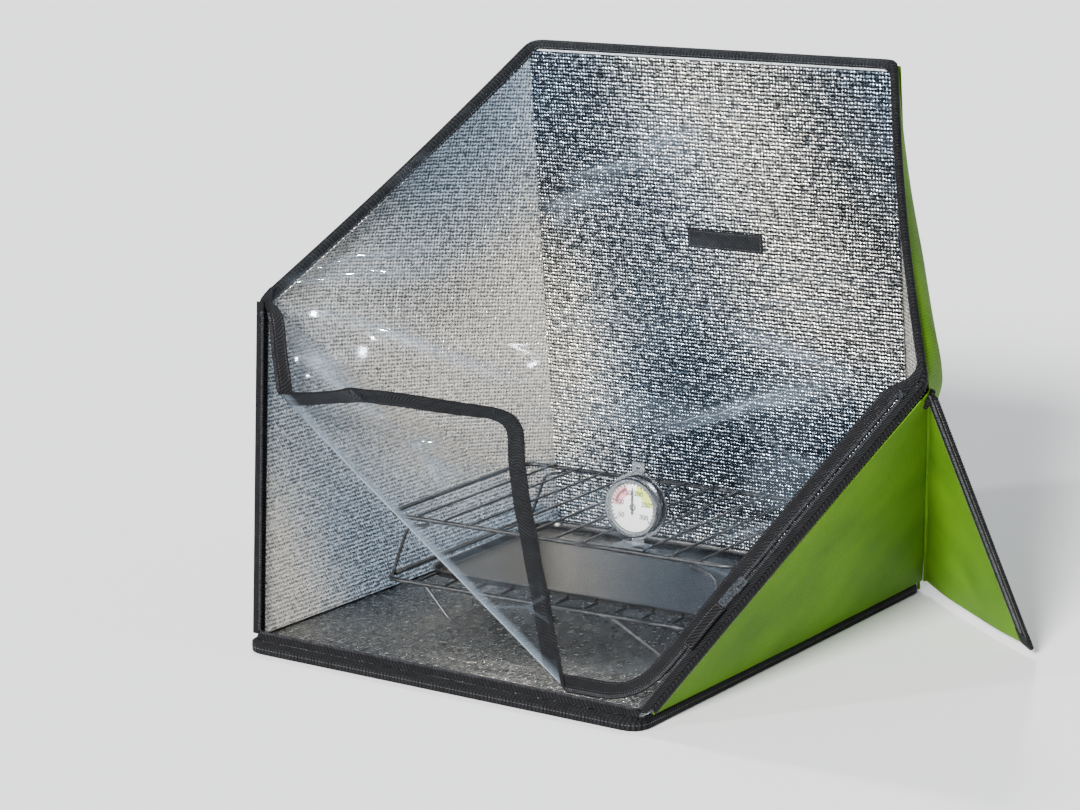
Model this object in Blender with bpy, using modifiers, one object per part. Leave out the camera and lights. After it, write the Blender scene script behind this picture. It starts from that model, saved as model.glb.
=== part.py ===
# Folding fabric solar oven, standing open with its window partly unzipped.
# Metres, +Z up. The origin is on the ground in the middle of the oven, and +Y points to the back panel.

import math

import bmesh
import bpy
from mathutils import Matrix, Vector

# Clearance between pieces that touch, and the height that free edges keep over the ground
GAP = 0.0003
GROUND_GAP = 0.0004

# Floor panel and back panel
FLOOR_WIDTH = 0.386
FLOOR_DEPTH = 0.472
COVER_THICKNESS = 0.001
LINER_THICKNESS = 0.002
FLOOR_BOARD_THICKNESS = 0.0065
BACK_BOARD_THICKNESS = 0.008
BACK_HEIGHT = 0.4855
BACK_LEAN = math.radians(7.0)
BACK_TOP_WIDTH = 0.368
HINGE_STRIP_WIDTH = 0.030
HINGE_STRIP_THICKNESS = 0.001

# Side corners, where the gussets are widest, from the middle line, the front edge and the ground
SIDE_REACH = 0.3365
CORNER_FORWARD = 0.188
CORNER_HEIGHT = 0.262

# Bindings. An edge binding is a flattened tube, wrapped further onto the gusset than over its edge.
EDGE_BINDING_RADIUS = 0.0033
EDGE_BINDING_OUTER = 0.0007
EDGE_BINDING_INNER = 0.0037
EDGE_BINDING_FOOT = 0.0154
FRONT_BINDING_HEIGHT = 0.0105
FRONT_BINDING_DEPTH = 0.008
SIDE_BINDING_HEIGHT = 0.0092
SIDE_BINDING_DEPTH = 0.005
TOP_BINDING_HEIGHT = 0.007
BINDING_ROUNDING = 0.002
WELT_RADIUS = 0.003
CORNER_TAB_RADIUS = 0.0036
CORNER_TAB_DROP = 0.0105
CORNER_TAB_LENGTH = 0.019
WELT_STAND_OFF = 0.0048

# Window and its zip
FILM_THICKNESS = 0.0006
FOLD_ROOM = 0.001
WINDOW_FRONT_SETBACK = 0.001
TAPE_THICKNESS = 0.0008
FRAME_TAPE_OVERHANG = 0.0015
FRAME_TAPE_REACH = 0.0065
FLAP_TAPE_WIDTH = 0.015
COIL_WIDTH = 0.0022
COIL_HEIGHT = 0.0012
COIL_GAP = 0.0016
TAPE_END_ROOM = 0.010
TAPE_BEND_ROOM = 0.002
CREASE_LEFT_RISE = 0.244
CREASE_FRONT_REACH = 0.140
CREASE_ROOM = 0.0006

# Zip slider, pull and tag
SLIDER_LENGTH = 0.013
SLIDER_WIDTH = 0.009
SLIDER_PLATE = 0.0012
SLIDER_POST = 0.0009
SLIDER_RISE = 0.120
BRIDGE_LENGTH = 0.0056
BRIDGE_WIDTH = 0.003
BRIDGE_HEIGHT = 0.0034
BRIDGE_WALL = 0.001
PULL_THICKNESS = 0.0012
PULL_WIDTH = 0.008
PULL_LENGTH = 0.022
PULL_WINDOW = (0.005, 0.0062)
PULL_CROSSBAR = 0.0016
TAG_WIDTH = 0.011
TAG_LENGTH = 0.042
TAG_THICKNESS = 0.0016
STOP_SIZE = (0.0035, 0.0045, 0.0015)
STOP_DROP = 0.014

# Wings
WING_FOOT_REACH = 0.3695
WING_FOOT_FORWARD = 0.3525
WING_THICKNESS = 0.002
WING_ZIP_WIDTH = 0.018
WING_ZIP_THICKNESS = 0.0034

# Wire racks, their feet and legs as distances in from a rack's end, and the tray
RACK_TURN = math.radians(2.2)
RACK_WALL_ROOM = 0.0136
RACK_CENTRE_FORWARD = 0.2495
RACK_DEPTH = 0.230
LOWER_RACK_WIDTH = 0.356
UPPER_RACK_WIDTH = 0.346
RAIL_RADIUS = 0.002
CROSS_WIRE_RADIUS = 0.0012
CROSS_WIRE_PITCH = 0.028
WELD_DEPTH = 0.0007
RACK_CORNER_RADIUS = 0.014
LOWER_RAIL_HEIGHT = 0.0415
UPPER_RAIL_HEIGHT = 0.1
FOOT_WIRE_RADIUS = 0.0015
FOOT_OUTER = 0.045
FOOT_TIP = 0.071
FOOT_INNER = 0.124
LEG_WIRE_RADIUS = 0.0015
LEG_BASE = 0.010
LEG_SHOULDER = 0.022
LEG_SHOULDER_DROP = 0.005
LEG_INNER = 0.044
TRAY_WIDTH = 0.288
TRAY_DEPTH = 0.206
TRAY_HEIGHT = 0.007
TRAY_WALL = 0.0012
TRAY_CORNER_RADIUS = 0.022

# Thermometer, standing on the upper rack
DIAL_RADIUS = 0.0212
CASE_RADIUS = 0.0235
CASE_DEPTH = 0.009
CASE_WALL = 0.0008
FLANGE_RADIUS = 0.028
FLANGE_THICKNESS = 0.0025
BEZEL_RADIUS = 0.0253
BEZEL_INNER_RADIUS = 0.0216
BEZEL_THICKNESS = 0.0044
BEZEL_LIP = 0.0012
DIAL_THICKNESS = 0.0006
LENS_THICKNESS = 0.001
PIN_RADIUS = 0.0009
POINTER_LENGTH = 0.0175
POINTER_TAIL = 0.006
POINTER_WIDTH = 0.0016
POINTER_THICKNESS = 0.0005
COIL_SPRING_RADIUS = 0.010
COIL_SPRING_SECTION = (0.0016, 0.0036)
DIAL_CENTRE_HEIGHT = 0.0335
THERMOMETER_OFFSET = 0.0725
THERMOMETER_SETBACK = 0.012
STRAP_WIDTH = 0.0115
STRAP_THICKNESS = 0.0012
STRAP_TOP = 0.0366
FOOT_PLATE_WIDTH = 0.030
FOOT_PLATE_DEPTH = 0.026
HANG_HOLE_RADIUS = 0.0017

# Label patch on the back liner: its middle and its size, measured on the liner
LABEL_SIZE = (0.078, 0.017)
LABEL_MIDDLE = (0.013, 0.3175)
LABEL_THICKNESS = 0.0010

# Derived places. The origin is the middle of everything that stands between the front and the rear.
FLOOR_TOP = COVER_THICKNESS + FLOOR_BOARD_THICKNESS + LINER_THICKNESS + 2 * GAP
GUSSET_THICKNESS = LINER_THICKNESS + GAP + COVER_THICKNESS
BACK_THICKNESS = LINER_THICKNESS + BACK_BOARD_THICKNESS + COVER_THICKNESS + 2 * GAP
BACK_UP = Vector((0, -math.sin(BACK_LEAN), math.cos(BACK_LEAN)))
BACK_OUT = Vector((0, math.cos(BACK_LEAN), math.sin(BACK_LEAN)))
FRONT_STACK = FRONT_BINDING_DEPTH + GAP
REAR_GAP = GAP + FLOOR_TOP * math.tan(BACK_LEAN)
REAR_STACK = REAR_GAP + (BACK_THICKNESS + GAP) / BACK_UP.z + HINGE_STRIP_THICKNESS * BACK_UP.z
FRONT_Y = FRONT_STACK - (FRONT_STACK + FLOOR_DEPTH + REAR_STACK) / 2
REAR_Y = FRONT_Y + FLOOR_DEPTH
BACK_FOOT = Vector((0, REAR_Y + REAR_GAP, GROUND_GAP))
SEAM_X = FLOOR_WIDTH / 2 + GAP + 0.65 * GUSSET_THICKNESS
SEAM_Z = SIDE_BINDING_HEIGHT + GAP + 0.35 * GUSSET_THICKNESS


def material(name, colour, roughness, metallic=0.0, alpha=1.0):
    made = bpy.data.materials.new(name)
    made.use_nodes = True
    shader = made.node_tree.nodes["Principled BSDF"]
    shader.inputs["Base Color"].default_value = (*colour, 1.0)
    shader.inputs["Roughness"].default_value = roughness
    shader.inputs["Metallic"].default_value = metallic
    shader.inputs["Alpha"].default_value = alpha
    made.diffuse_color = (*colour, alpha)
    return made


def start_empty_scene():
    for obj in list(bpy.data.objects):
        bpy.data.objects.remove(obj, do_unlink=True)


def make_collections():
    parts = bpy.data.collections.new("solar_oven")
    helpers = bpy.data.collections.new("helpers")
    bpy.context.scene.collection.children.link(parts)
    bpy.context.scene.collection.children.link(helpers)
    return parts, helpers


def make_materials():
    return {
        "green_fabric": material("green_fabric", (0.24, 0.42, 0.04), 0.75),
        "insulation": material("insulation", (0.75, 0.75, 0.72), 0.9),
        "foil": material("foil", (0.78, 0.79, 0.80), 0.25, 0.9),
        "webbing": material("webbing", (0.02, 0.02, 0.02), 0.7),
        "film": material("film", (0.80, 0.86, 0.90), 0.08, 0.0, 0.3),
        "zip_metal": material("zip_metal", (0.75, 0.75, 0.76), 0.3, 1.0),
        "wire": material("wire", (0.03, 0.03, 0.03), 0.35, 0.6),
        "enamel": material("enamel", (0.02, 0.02, 0.025), 0.2),
        "steel": material("steel", (0.70, 0.70, 0.70), 0.25, 1.0),
        "dial_card": material("dial_card", (0.90, 0.90, 0.88), 0.5),
        "lens": material("lens", (0.90, 0.95, 0.96), 0.05, 0.0, 0.25),
        "pointer": material("pointer", (0.01, 0.01, 0.01), 0.5),
    }


start_empty_scene()
PARTS, HELPERS = make_collections()
MATERIALS = make_materials()


def add(obj, material_name, collection=None):
    (collection or PARTS).objects.link(obj)
    if obj.data is not None:
        obj.data.materials.clear()
        obj.data.materials.append(MATERIALS[material_name])
    return obj


def placing(origin, x_direction, normal):
    z = normal.normalized()
    x = (x_direction - z * x_direction.dot(z)).normalized()
    y = z.cross(x)
    return Matrix.Translation(origin) @ Matrix((x, y, z)).transposed().to_4x4()


def outline(name, rings, thickness, matrix, material_name, collection=None):
    """A flat outline, with any holes as further rings, as thick as asked about its own plane."""
    curve = bpy.data.curves.new(name, "CURVE")
    curve.dimensions = "2D"
    curve.fill_mode = "BOTH"
    curve.extrude = thickness / 2
    for ring in rings:
        spline = curve.splines.new("POLY")
        spline.points.add(len(ring) - 1)
        for point, (x, y) in zip(spline.points, ring):
            point.co = (x, y, 0, 1)
        spline.use_cyclic_u = True
    obj = bpy.data.objects.new(name, curve)
    obj.matrix_world = matrix
    return add(obj, material_name, collection)


def inset(ring, distances):
    """The ring with each edge moved inwards: distance i moves the edge from corner i to corner i + 1."""
    count = len(ring)
    area = sum(
        ring[i][0] * ring[(i + 1) % count][1] - ring[(i + 1) % count][0] * ring[i][1]
        for i in range(count)
    )
    turn = 1 if area > 0 else -1
    lines = []
    for i in range(count):
        start = Vector(ring[i])
        along = (Vector(ring[(i + 1) % count]) - start).normalized()
        inwards = Vector((-along.y, along.x)) * turn
        lines.append((start + inwards * distances[i], along))
    corners = []
    for i in range(count):
        p, d = lines[i - 1]
        q, e = lines[i]
        cross = d.x * e.y - d.y * e.x
        t = ((q.x - p.x) * e.y - (q.y - p.y) * e.x) / cross
        corners.append(p + d * t)
    return [(c.x, c.y) for c in corners]


def flat_piece(name, corners, distances, outwards, low, high, material_name):
    """A plate on the plane of its corners, between two heights measured outwards from that plane."""
    normal = (corners[1] - corners[0]).cross(corners[2] - corners[0]).normalized()
    if normal.dot(outwards) < 0:
        normal = -normal
    matrix = placing(corners[0], corners[1] - corners[0], normal)
    back = matrix.inverted()
    ring = [tuple((back @ c)[:2]) for c in corners]
    middle = matrix @ Matrix.Translation((0, 0, (low + high) / 2))
    return outline(name, [inset(ring, distances)], high - low, middle, material_name)


def profile_bar(name, ring, start, end, lateral, material_name, collection=None):
    """A bar of one section from start to end. The section's first direction is lateral."""
    along = end - start
    matrix = placing((start + end) / 2, lateral, along)
    return outline(name, [ring], along.length, matrix, material_name, collection)


def tube(name, points, radius, material_name, cyclic=False, resolution=2, collection=None):
    curve = bpy.data.curves.new(name, "CURVE")
    curve.dimensions = "3D"
    curve.fill_mode = "FULL"
    curve.bevel_depth = radius
    curve.bevel_resolution = resolution
    curve.use_fill_caps = not cyclic
    spline = curve.splines.new("POLY")
    spline.points.add(len(points) - 1)
    for point, place in zip(spline.points, points):
        point.co = (*place, 1)
    spline.use_cyclic_u = cyclic
    return add(bpy.data.objects.new(name, curve), material_name, collection)


def as_mesh(obj):
    """Turns a curve object into a closed mesh object of the same name and place."""
    graph = bpy.context.evaluated_depsgraph_get()
    mesh = bpy.data.meshes.new_from_object(obj.evaluated_get(graph))
    built = bmesh.new()
    built.from_mesh(mesh)
    bmesh.ops.remove_doubles(built, verts=built.verts, dist=0.000001)
    bmesh.ops.recalc_face_normals(built, faces=built.faces)
    built.to_mesh(mesh)
    built.free()
    name, world, groups = obj.name, obj.matrix_world.copy(), list(obj.users_collection)
    bpy.data.objects.remove(obj, do_unlink=True)
    made = bpy.data.objects.new(name, mesh)
    made.matrix_world = world
    for group in groups:
        group.objects.link(made)
    return made


def helper(obj):
    """Keeps an object that only shapes another one out of the parts."""
    obj.hide_render = True
    obj.display_type = "WIRE"
    return obj


def boolean(obj, other, operation):
    other.parent = obj
    other.matrix_parent_inverse = obj.matrix_world.inverted()
    modifier = obj.modifiers.new(operation.lower(), "BOOLEAN")
    modifier.operation = operation
    modifier.solver = "EXACT"
    modifier.object = other


def mesh_object(name, built, material_name, collection=None):
    mesh = bpy.data.meshes.new(name)
    built.to_mesh(mesh)
    built.free()
    return add(bpy.data.objects.new(name, mesh), material_name, collection)


def cylinder(name, radius, low, high, material_name, segments=48, collection=None):
    built = bmesh.new()
    bmesh.ops.create_cone(
        built, cap_ends=True, segments=segments, radius1=radius, radius2=radius, depth=high - low
    )
    bmesh.ops.translate(built, verts=built.verts, vec=(0, 0, (low + high) / 2))
    return mesh_object(name, built, material_name, collection)


def box(name, low, high, material_name, rounding=0.0, collection=None):
    built = bmesh.new()
    bmesh.ops.create_cube(built, size=1.0)
    size = Vector(high) - Vector(low)
    bmesh.ops.scale(built, verts=built.verts, vec=size)
    bmesh.ops.translate(built, verts=built.verts, vec=(Vector(low) + Vector(high)) / 2)
    obj = mesh_object(name, built, material_name, collection)
    if rounding:
        bevel = obj.modifiers.new("rounding", "BEVEL")
        bevel.width = rounding
        bevel.segments = 2
    return obj


def turned(name, profile, material_name, steps=48):
    """A turned piece about its own Z axis. The profile is a closed ring that runs down its outer side."""
    built = bmesh.new()
    points = [built.verts.new((r, 0, z)) for r, z in profile]
    for i, point in enumerate(points):
        built.edges.new((point, points[(i + 1) % len(points)]))
    obj = mesh_object(name, built, material_name)
    screw = obj.modifiers.new("turn", "SCREW")
    screw.steps = steps
    screw.render_steps = steps
    screw.use_merge_vertices = True
    screw.merge_threshold = 0.00001
    return obj


def empty(name, matrix, parent=None):
    obj = bpy.data.objects.new(name, None)
    PARTS.objects.link(obj)
    obj.parent = parent
    obj.matrix_world = matrix
    bpy.context.view_layer.update()
    return obj


def carry(parent, *pieces):
    """Parents pieces that are already in place, which stay where they are."""
    for piece in pieces:
        piece.parent = parent
        piece.matrix_parent_inverse = parent.matrix_world.inverted()


def mount(parent, *pieces):
    """Parents pieces that are modelled in the parent's own coordinates."""
    for piece in pieces:
        piece.parent = parent
        piece.matrix_parent_inverse = Matrix.Identity(4)


def crossing(p, d, q, e):
    """Where two lines in the YZ plane meet, each a point and a direction."""
    cross = d.y * e.z - d.z * e.y
    t = ((q.y - p.y) * e.z - (q.z - p.z) * e.y) / cross
    return p + d * t


def mirrored(point, side):
    return Vector((point.x * side, point.y, point.z))


# Skeleton: the window's two planes, meeting at the line between the side corners
BACK_INNER_TOP = BACK_FOOT + BACK_UP * BACK_HEIGHT
TOP_BINDING_FRONT = BACK_INNER_TOP + BACK_UP * (GAP + TOP_BINDING_HEIGHT)
WINDOW_FRONT = Vector(
    (0, FRONT_Y + WINDOW_FRONT_SETBACK, FRONT_BINDING_HEIGHT + GAP + TAPE_THICKNESS / 2)
)
WINDOW_MIDDLE = Vector((0, FRONT_Y + CORNER_FORWARD, CORNER_HEIGHT))
WINDOW_TOP = TOP_BINDING_FRONT + Vector((0, -0.71, 0.71)) * (GAP + FILM_THICKNESS / 2)
LOWER_UP = (WINDOW_MIDDLE - WINDOW_FRONT).normalized()
UPPER_UP = (WINDOW_TOP - WINDOW_MIDDLE).normalized()
LOWER_OUT = Vector((0, -LOWER_UP.z, LOWER_UP.y))
UPPER_OUT = Vector((0, -UPPER_UP.z, UPPER_UP.y))
WINDOW_RISE = (WINDOW_MIDDLE - WINDOW_FRONT).length

# Skeleton: the binding's axes run just under the window's planes
EDGE_BINDING_RISE = EDGE_BINDING_RADIUS + EDGE_BINDING_OUTER
LOWER_AXIS_DROP = EDGE_BINDING_RISE + GAP + TAPE_THICKNESS / 2
UPPER_AXIS_DROP = EDGE_BINDING_RISE + GAP + FILM_THICKNESS / 2
CORNER_YZ = crossing(
    WINDOW_FRONT - LOWER_OUT * LOWER_AXIS_DROP,
    LOWER_UP,
    WINDOW_MIDDLE - UPPER_OUT * UPPER_AXIS_DROP,
    UPPER_UP,
)
SIDE_CORNER = Vector((SIDE_REACH, CORNER_YZ.y, CORNER_YZ.z))
BACK_OUTER_FOOT = BACK_FOOT + BACK_OUT * BACK_THICKNESS
REAR_CORNER = BACK_OUTER_FOOT + BACK_UP * ((SEAM_Z - BACK_OUTER_FOOT.z) / BACK_UP.z)
REAR_CORNER.x = SEAM_X
SIDE_LEAN = (SIDE_CORNER.x - SEAM_X) / (SIDE_CORNER.z - SEAM_Z)
TOP_OUTER_CORNER = BACK_INNER_TOP + BACK_OUT * BACK_THICKNESS
TOP_OUTER_CORNER.x = BACK_TOP_WIDTH / 2 + GAP + 0.65 * GUSSET_THICKNESS
UPPER_NORMAL = (SIDE_CORNER - REAR_CORNER).cross(TOP_OUTER_CORNER - REAR_CORNER).normalized()


def on_lower_gusset(point):
    return Vector((SEAM_X + SIDE_LEAN * (point.z - SEAM_Z), point.y, point.z))


def on_upper_gusset(point):
    n = UPPER_NORMAL
    x = REAR_CORNER.x - (n.y * (point.y - REAR_CORNER.y) + n.z * (point.z - REAR_CORNER.z)) / n.x
    return Vector((x, point.y, point.z))


def at_height(point, direction, z):
    return point + direction * ((z - point.z) / direction.z)


FRONT_CORNER = on_lower_gusset(
    at_height(WINDOW_FRONT - LOWER_OUT * LOWER_AXIS_DROP, LOWER_UP, EDGE_BINDING_FOOT)
)
TOP_CORNER = on_upper_gusset(WINDOW_TOP - UPPER_OUT * UPPER_AXIS_DROP)

# The window's side edge as seen on its lower plane: half width at the front line, and its growth up the slope
EDGE_FOOT_X = on_lower_gusset(WINDOW_FRONT - LOWER_OUT * LOWER_AXIS_DROP).x
EDGE_GROWTH = SIDE_LEAN * LOWER_UP.z
EDGE_COS = 1 / math.hypot(1, EDGE_GROWTH)


def window(x, s, h=0.0):
    """A point on the window's lower plane: across, up the slope, and outwards."""
    return WINDOW_FRONT + Vector((x, 0, 0)) + LOWER_UP * s + LOWER_OUT * h


def edge_x(s, offset=0.0):
    """Half width of the window's lower plane, less an offset square to its side edge."""
    return EDGE_FOOT_X + EDGE_GROWTH * s - offset / EDGE_COS


def floor_panel():
    half = FLOOR_WIDTH / 2
    layers = [
        ("floor_cover", COVER_THICKNESS, "green_fabric"),
        ("floor_board", FLOOR_BOARD_THICKNESS, "insulation"),
        ("floor_liner", LINER_THICKNESS, "foil"),
    ]
    low = 0.0
    for name, thickness, material_name in layers:
        box(name, (-half, FRONT_Y, low), (half, REAR_Y, low + thickness), material_name)
        low += thickness + GAP


def back_panel():
    half = FLOOR_WIDTH / 2
    top_half = BACK_TOP_WIDTH / 2
    foot, top = BACK_FOOT, BACK_INNER_TOP
    corners = [
        foot + Vector((-half, 0, 0)),
        foot + Vector((half, 0, 0)),
        top + Vector((top_half, 0, 0)),
        top + Vector((-top_half, 0, 0)),
    ]
    layers = [
        ("back_liner", LINER_THICKNESS, "foil"),
        ("back_board", BACK_BOARD_THICKNESS, "insulation"),
        ("back_cover", COVER_THICKNESS, "green_fabric"),
    ]
    low = 0.0
    for name, thickness, material_name in layers:
        flat_piece(name, corners, [0] * 4, BACK_OUT, low, low + thickness, material_name)
        low += thickness + GAP


def rear_hinge_strip():
    """The strip sewn over the joint of the floor and back panels, on the back panel's outer face."""
    half = FLOOR_WIDTH / 2
    outer = BACK_FOOT + BACK_OUT * (BACK_THICKNESS + GAP)
    low = at_height(outer, BACK_UP, GROUND_GAP)
    high = low + BACK_UP * HINGE_STRIP_WIDTH
    corners = [low - Vector((half, 0, 0)), low + Vector((half, 0, 0))]
    corners += [high + Vector((half, 0, 0)), high - Vector((half, 0, 0))]
    flat_piece(
        "rear_hinge_strip", corners, [0] * 4, BACK_OUT, 0, HINGE_STRIP_THICKNESS, "green_fabric"
    )


def gussets(side, name):
    """The two triangles of one side, each a foil liner inside and a green cover outside."""
    free_edge = EDGE_BINDING_INNER + EDGE_BINDING_RADIUS + GAP
    crease = 0.3 * GUSSET_THICKNESS
    rear, corner = mirrored(REAR_CORNER, side), mirrored(SIDE_CORNER, side)
    front, top = mirrored(FRONT_CORNER, side), mirrored(TOP_CORNER, side)
    down = front - corner
    lower = [rear, corner, at_height(front, down, SEAM_Z)]
    upper = [rear, corner, top]
    outwards = Vector((side, 0, 0))
    half = GUSSET_THICKNESS / 2
    lower_room = [crease, free_edge, 0]
    upper_room = [crease, free_edge, 0]
    for label, inner, outer, material_name in [
        ("liner", -half, -half + LINER_THICKNESS, "foil"),
        ("cover", half - COVER_THICKNESS, half, "green_fabric"),
    ]:
        flat_piece(
            f"lower_gusset_{label}_{name}", lower, lower_room, outwards, inner, outer, material_name
        )
        flat_piece(
            f"upper_gusset_{label}_{name}", upper, upper_room, outwards, inner, outer, material_name
        )


def binding_ring(steps=6):
    """The section of an edge binding. Its first direction points out over the gusset's free edge."""
    ring = []
    for centre, turn in ((EDGE_BINDING_OUTER, -math.pi / 2), (-EDGE_BINDING_INNER, math.pi / 2)):
        for i in range(steps + 1):
            angle = turn + math.pi * i / steps
            x = centre + EDGE_BINDING_RADIUS * math.cos(angle)
            ring.append((x, EDGE_BINDING_RADIUS * math.sin(angle)))
    return ring


def edge_bindings(side, name):
    rear, corner = mirrored(REAR_CORNER, side), mirrored(SIDE_CORNER, side)
    front, top = mirrored(FRONT_CORNER, side), mirrored(TOP_CORNER, side)
    room = EDGE_BINDING_RADIUS
    ring = binding_ring()
    for label, end in (("lower", front), ("upper", top)):
        along = (end - corner).normalized()
        body = rear - corner
        over_edge = along * body.dot(along) - body
        start = corner + along * room
        profile_bar(f"{label}_edge_binding_{name}", ring, start, end, over_edge, "webbing")


def floor_and_top_bindings():
    for side, name in ((-1, "left"), (1, "right")):
        near = side * (FLOOR_WIDTH / 2 + GAP)
        far = near + side * SIDE_BINDING_DEPTH
        box(
            f"floor_binding_{name}",
            (min(near, far), FRONT_Y, 0),
            (max(near, far), REAR_Y, SIDE_BINDING_HEIGHT),
            "webbing",
            BINDING_ROUNDING,
        )
    front_half = FLOOR_WIDTH / 2 + GAP + SIDE_BINDING_DEPTH
    box(
        "front_binding",
        (-front_half, FRONT_Y - GAP - FRONT_BINDING_DEPTH, 0),
        (front_half, FRONT_Y - GAP, FRONT_BINDING_HEIGHT),
        "webbing",
        BINDING_ROUNDING,
    )
    top_half = BACK_TOP_WIDTH / 2
    binding = box(
        "top_binding",
        (-top_half, 0, GAP),
        (top_half, BACK_THICKNESS, GAP + TOP_BINDING_HEIGHT),
        "webbing",
        BINDING_ROUNDING,
    )
    binding.matrix_world = placing(BACK_INNER_TOP, Vector((1, 0, 0)), BACK_UP)


def crease_axis(side):
    """The axis of one side's welt and wing: beside the crease, outside the gussets."""
    along = (SIDE_CORNER - REAR_CORNER).normalized()
    to_front = FRONT_CORNER - REAR_CORNER
    to_top = TOP_CORNER - REAR_CORNER
    lower = (to_front - along * to_front.dot(along)).normalized()
    upper = (to_top - along * to_top.dot(along)).normalized()
    outwards = -(lower + upper).normalized()
    foot = REAR_CORNER + outwards * WELT_STAND_OFF
    head = SIDE_CORNER + outwards * WELT_STAND_OFF
    foot = at_height(foot, along, SEAM_Z + WELT_RADIUS)
    return mirrored(foot, side), mirrored(head, side)


def crease_welt(side, name):
    foot, head = crease_axis(side)
    down = (foot - head).normalized()
    tab_top = head + down * CORNER_TAB_DROP
    tab_end = tab_top + down * CORNER_TAB_LENGTH
    tube(f"crease_welt_{name}", [foot, tab_end + down * GAP], WELT_RADIUS, "green_fabric")
    tube(f"corner_tab_{name}", [tab_end, tab_top], CORNER_TAB_RADIUS, "webbing", resolution=3)


def wing(side, name):
    """The triangular leg that swings on the crease, with the heavy zip along its outer edge."""
    foot, head = crease_axis(side)
    along = (head - foot).normalized()
    tip = mirrored(Vector((WING_FOOT_REACH, FRONT_Y + WING_FOOT_FORWARD, GROUND_GAP)), side)
    heel = at_height(foot, along, SEAM_Z)
    plane = (tip - heel).cross(along).normalized()
    hinge_room = CORNER_TAB_RADIUS + GAP
    panel = flat_piece(
        f"wing_panel_{name}",
        [heel, tip, head],
        [0.8 * WING_THICKNESS, WING_ZIP_WIDTH + GAP, hinge_room],
        plane,
        -WING_THICKNESS / 2,
        WING_THICKNESS / 2,
        "green_fabric",
    )
    edge = (tip - head).normalized()
    share = WING_ZIP_WIDTH / (heel - tip).cross(edge).length
    zip_bar = flat_piece(
        f"wing_zip_{name}",
        [tip.lerp(heel, share), tip, head, head.lerp(heel, share)],
        [0.8 * WING_ZIP_THICKNESS, 0, hinge_room, 0],
        plane,
        -WING_ZIP_THICKNESS / 2,
        WING_ZIP_THICKNESS / 2,
        "webbing",
    )
    carry(empty(f"wing_axis_{name}", placing(foot, Vector((0, 1, 0)), along)), panel, zip_bar)


def tape_ring(width, coil_first):
    """A zip tape's section with the coil standing on one edge."""
    half = TAPE_THICKNESS / 2
    top = half + COIL_HEIGHT
    if coil_first:
        ring = [(0, -half), (width, -half), (width, half), (COIL_WIDTH, half), (COIL_WIDTH, top), (0, top)]
    else:
        root = width - COIL_WIDTH
        ring = [(0, -half), (width, -half), (width, top), (root, top), (root, half), (0, half)]
    return ring


def side_tape(name, side, low, high, offset, width, coil_first, h=0.0):
    """A tape along the window's side edge, from its first direction inwards."""
    start = window(side * edge_x(low, offset), low, h)
    end = window(side * edge_x(high, offset), high, h)
    inwards = LOWER_OUT.cross(end - start) * side
    ring = tape_ring(width, coil_first)
    if (end - start).cross(inwards).dot(LOWER_OUT) < 0:
        ring = [(x, -y) for x, y in ring]
    return profile_bar(name, ring, start, end, inwards, "webbing")


def front_tape(name, left, right, low, width, coil_first):
    """A tape along the window's front line, from its first direction up the slope."""
    start, end = window(left, low), window(right, low)
    ring = tape_ring(width, coil_first)
    if (end - start).cross(LOWER_UP).dot(LOWER_OUT) < 0:
        ring = [(x, -y) for x, y in ring]
    return profile_bar(name, ring, start, end, LOWER_UP, "webbing")


FLAP_OFFSET = FRAME_TAPE_REACH + COIL_GAP
FILM_OFFSET = FLAP_OFFSET + FLAP_TAPE_WIDTH + GAP
TAPE_TOP = WINDOW_RISE - TAPE_END_ROOM


def frame_zip():
    for side, name in ((-1, "left"), (1, "right")):
        low = FRAME_TAPE_REACH + 2 * GAP
        width = FRAME_TAPE_OVERHANG + FRAME_TAPE_REACH
        side_tape(f"frame_zip_{name}", side, low, TAPE_TOP, -FRAME_TAPE_OVERHANG, width, False)
        stop_s = WINDOW_RISE - STOP_DROP
        seat = TAPE_THICKNESS / 2 + COIL_HEIGHT + GAP
        centre = window(side * edge_x(stop_s, FRAME_TAPE_REACH - COIL_WIDTH / 2), stop_s, seat)
        width, length, height = STOP_SIZE
        stop = box(
            f"zip_stop_{name}",
            (-width / 2, -length / 2, 0),
            (width / 2, length / 2, height),
            "zip_metal",
        )
        stop.matrix_world = placing(centre, Vector((1, 0, 0)), LOWER_OUT)
    half = edge_x(0)
    front_tape("frame_zip_front", -half, half, 0, FRAME_TAPE_REACH, False)


def reflect(point, start, end):
    """A point of the window plane, as (x, s), turned over the line from start to end."""
    along = (Vector(end) - Vector(start)).normalized()
    offset = Vector(point) - Vector(start)
    twin = along * (2 * offset.dot(along)) - offset
    moved = Vector(start) + twin
    return (moved.x, moved.y)


# The crease of the turned-over corner, where it leaves the left edge and the front line, as (x, s)
CREASE_LEFT = (-edge_x(CREASE_LEFT_RISE), CREASE_LEFT_RISE)
CREASE_FRONT = (CREASE_FRONT_REACH, 0.0)
CORNER_LIFT = TAPE_THICKNESS + COIL_HEIGHT + 2 * GAP


def crease_point(s, offset=0.0):
    """The x of the crease at a height up the slope, moved up and to the right, square to it, by an offset."""
    start, end = Vector(CREASE_LEFT), Vector(CREASE_FRONT)
    along = end - start
    normal = Vector((-along.y, along.x)).normalized()
    if normal.y < 0:
        normal = -normal
    moved = start + normal * offset
    return moved.x + along.x * (s - moved.y) / along.y


def crease_on_left(offset, room):
    """Where the crease, moved by room, crosses the line inside the left edge by offset."""
    low, high = 0.0, WINDOW_RISE
    for _ in range(60):
        middle = (low + high) / 2
        if crease_point(middle, room) < -edge_x(middle, offset):
            low, high = low, middle
        else:
            low, high = middle, high
    return (-edge_x(low, offset), low)


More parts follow.
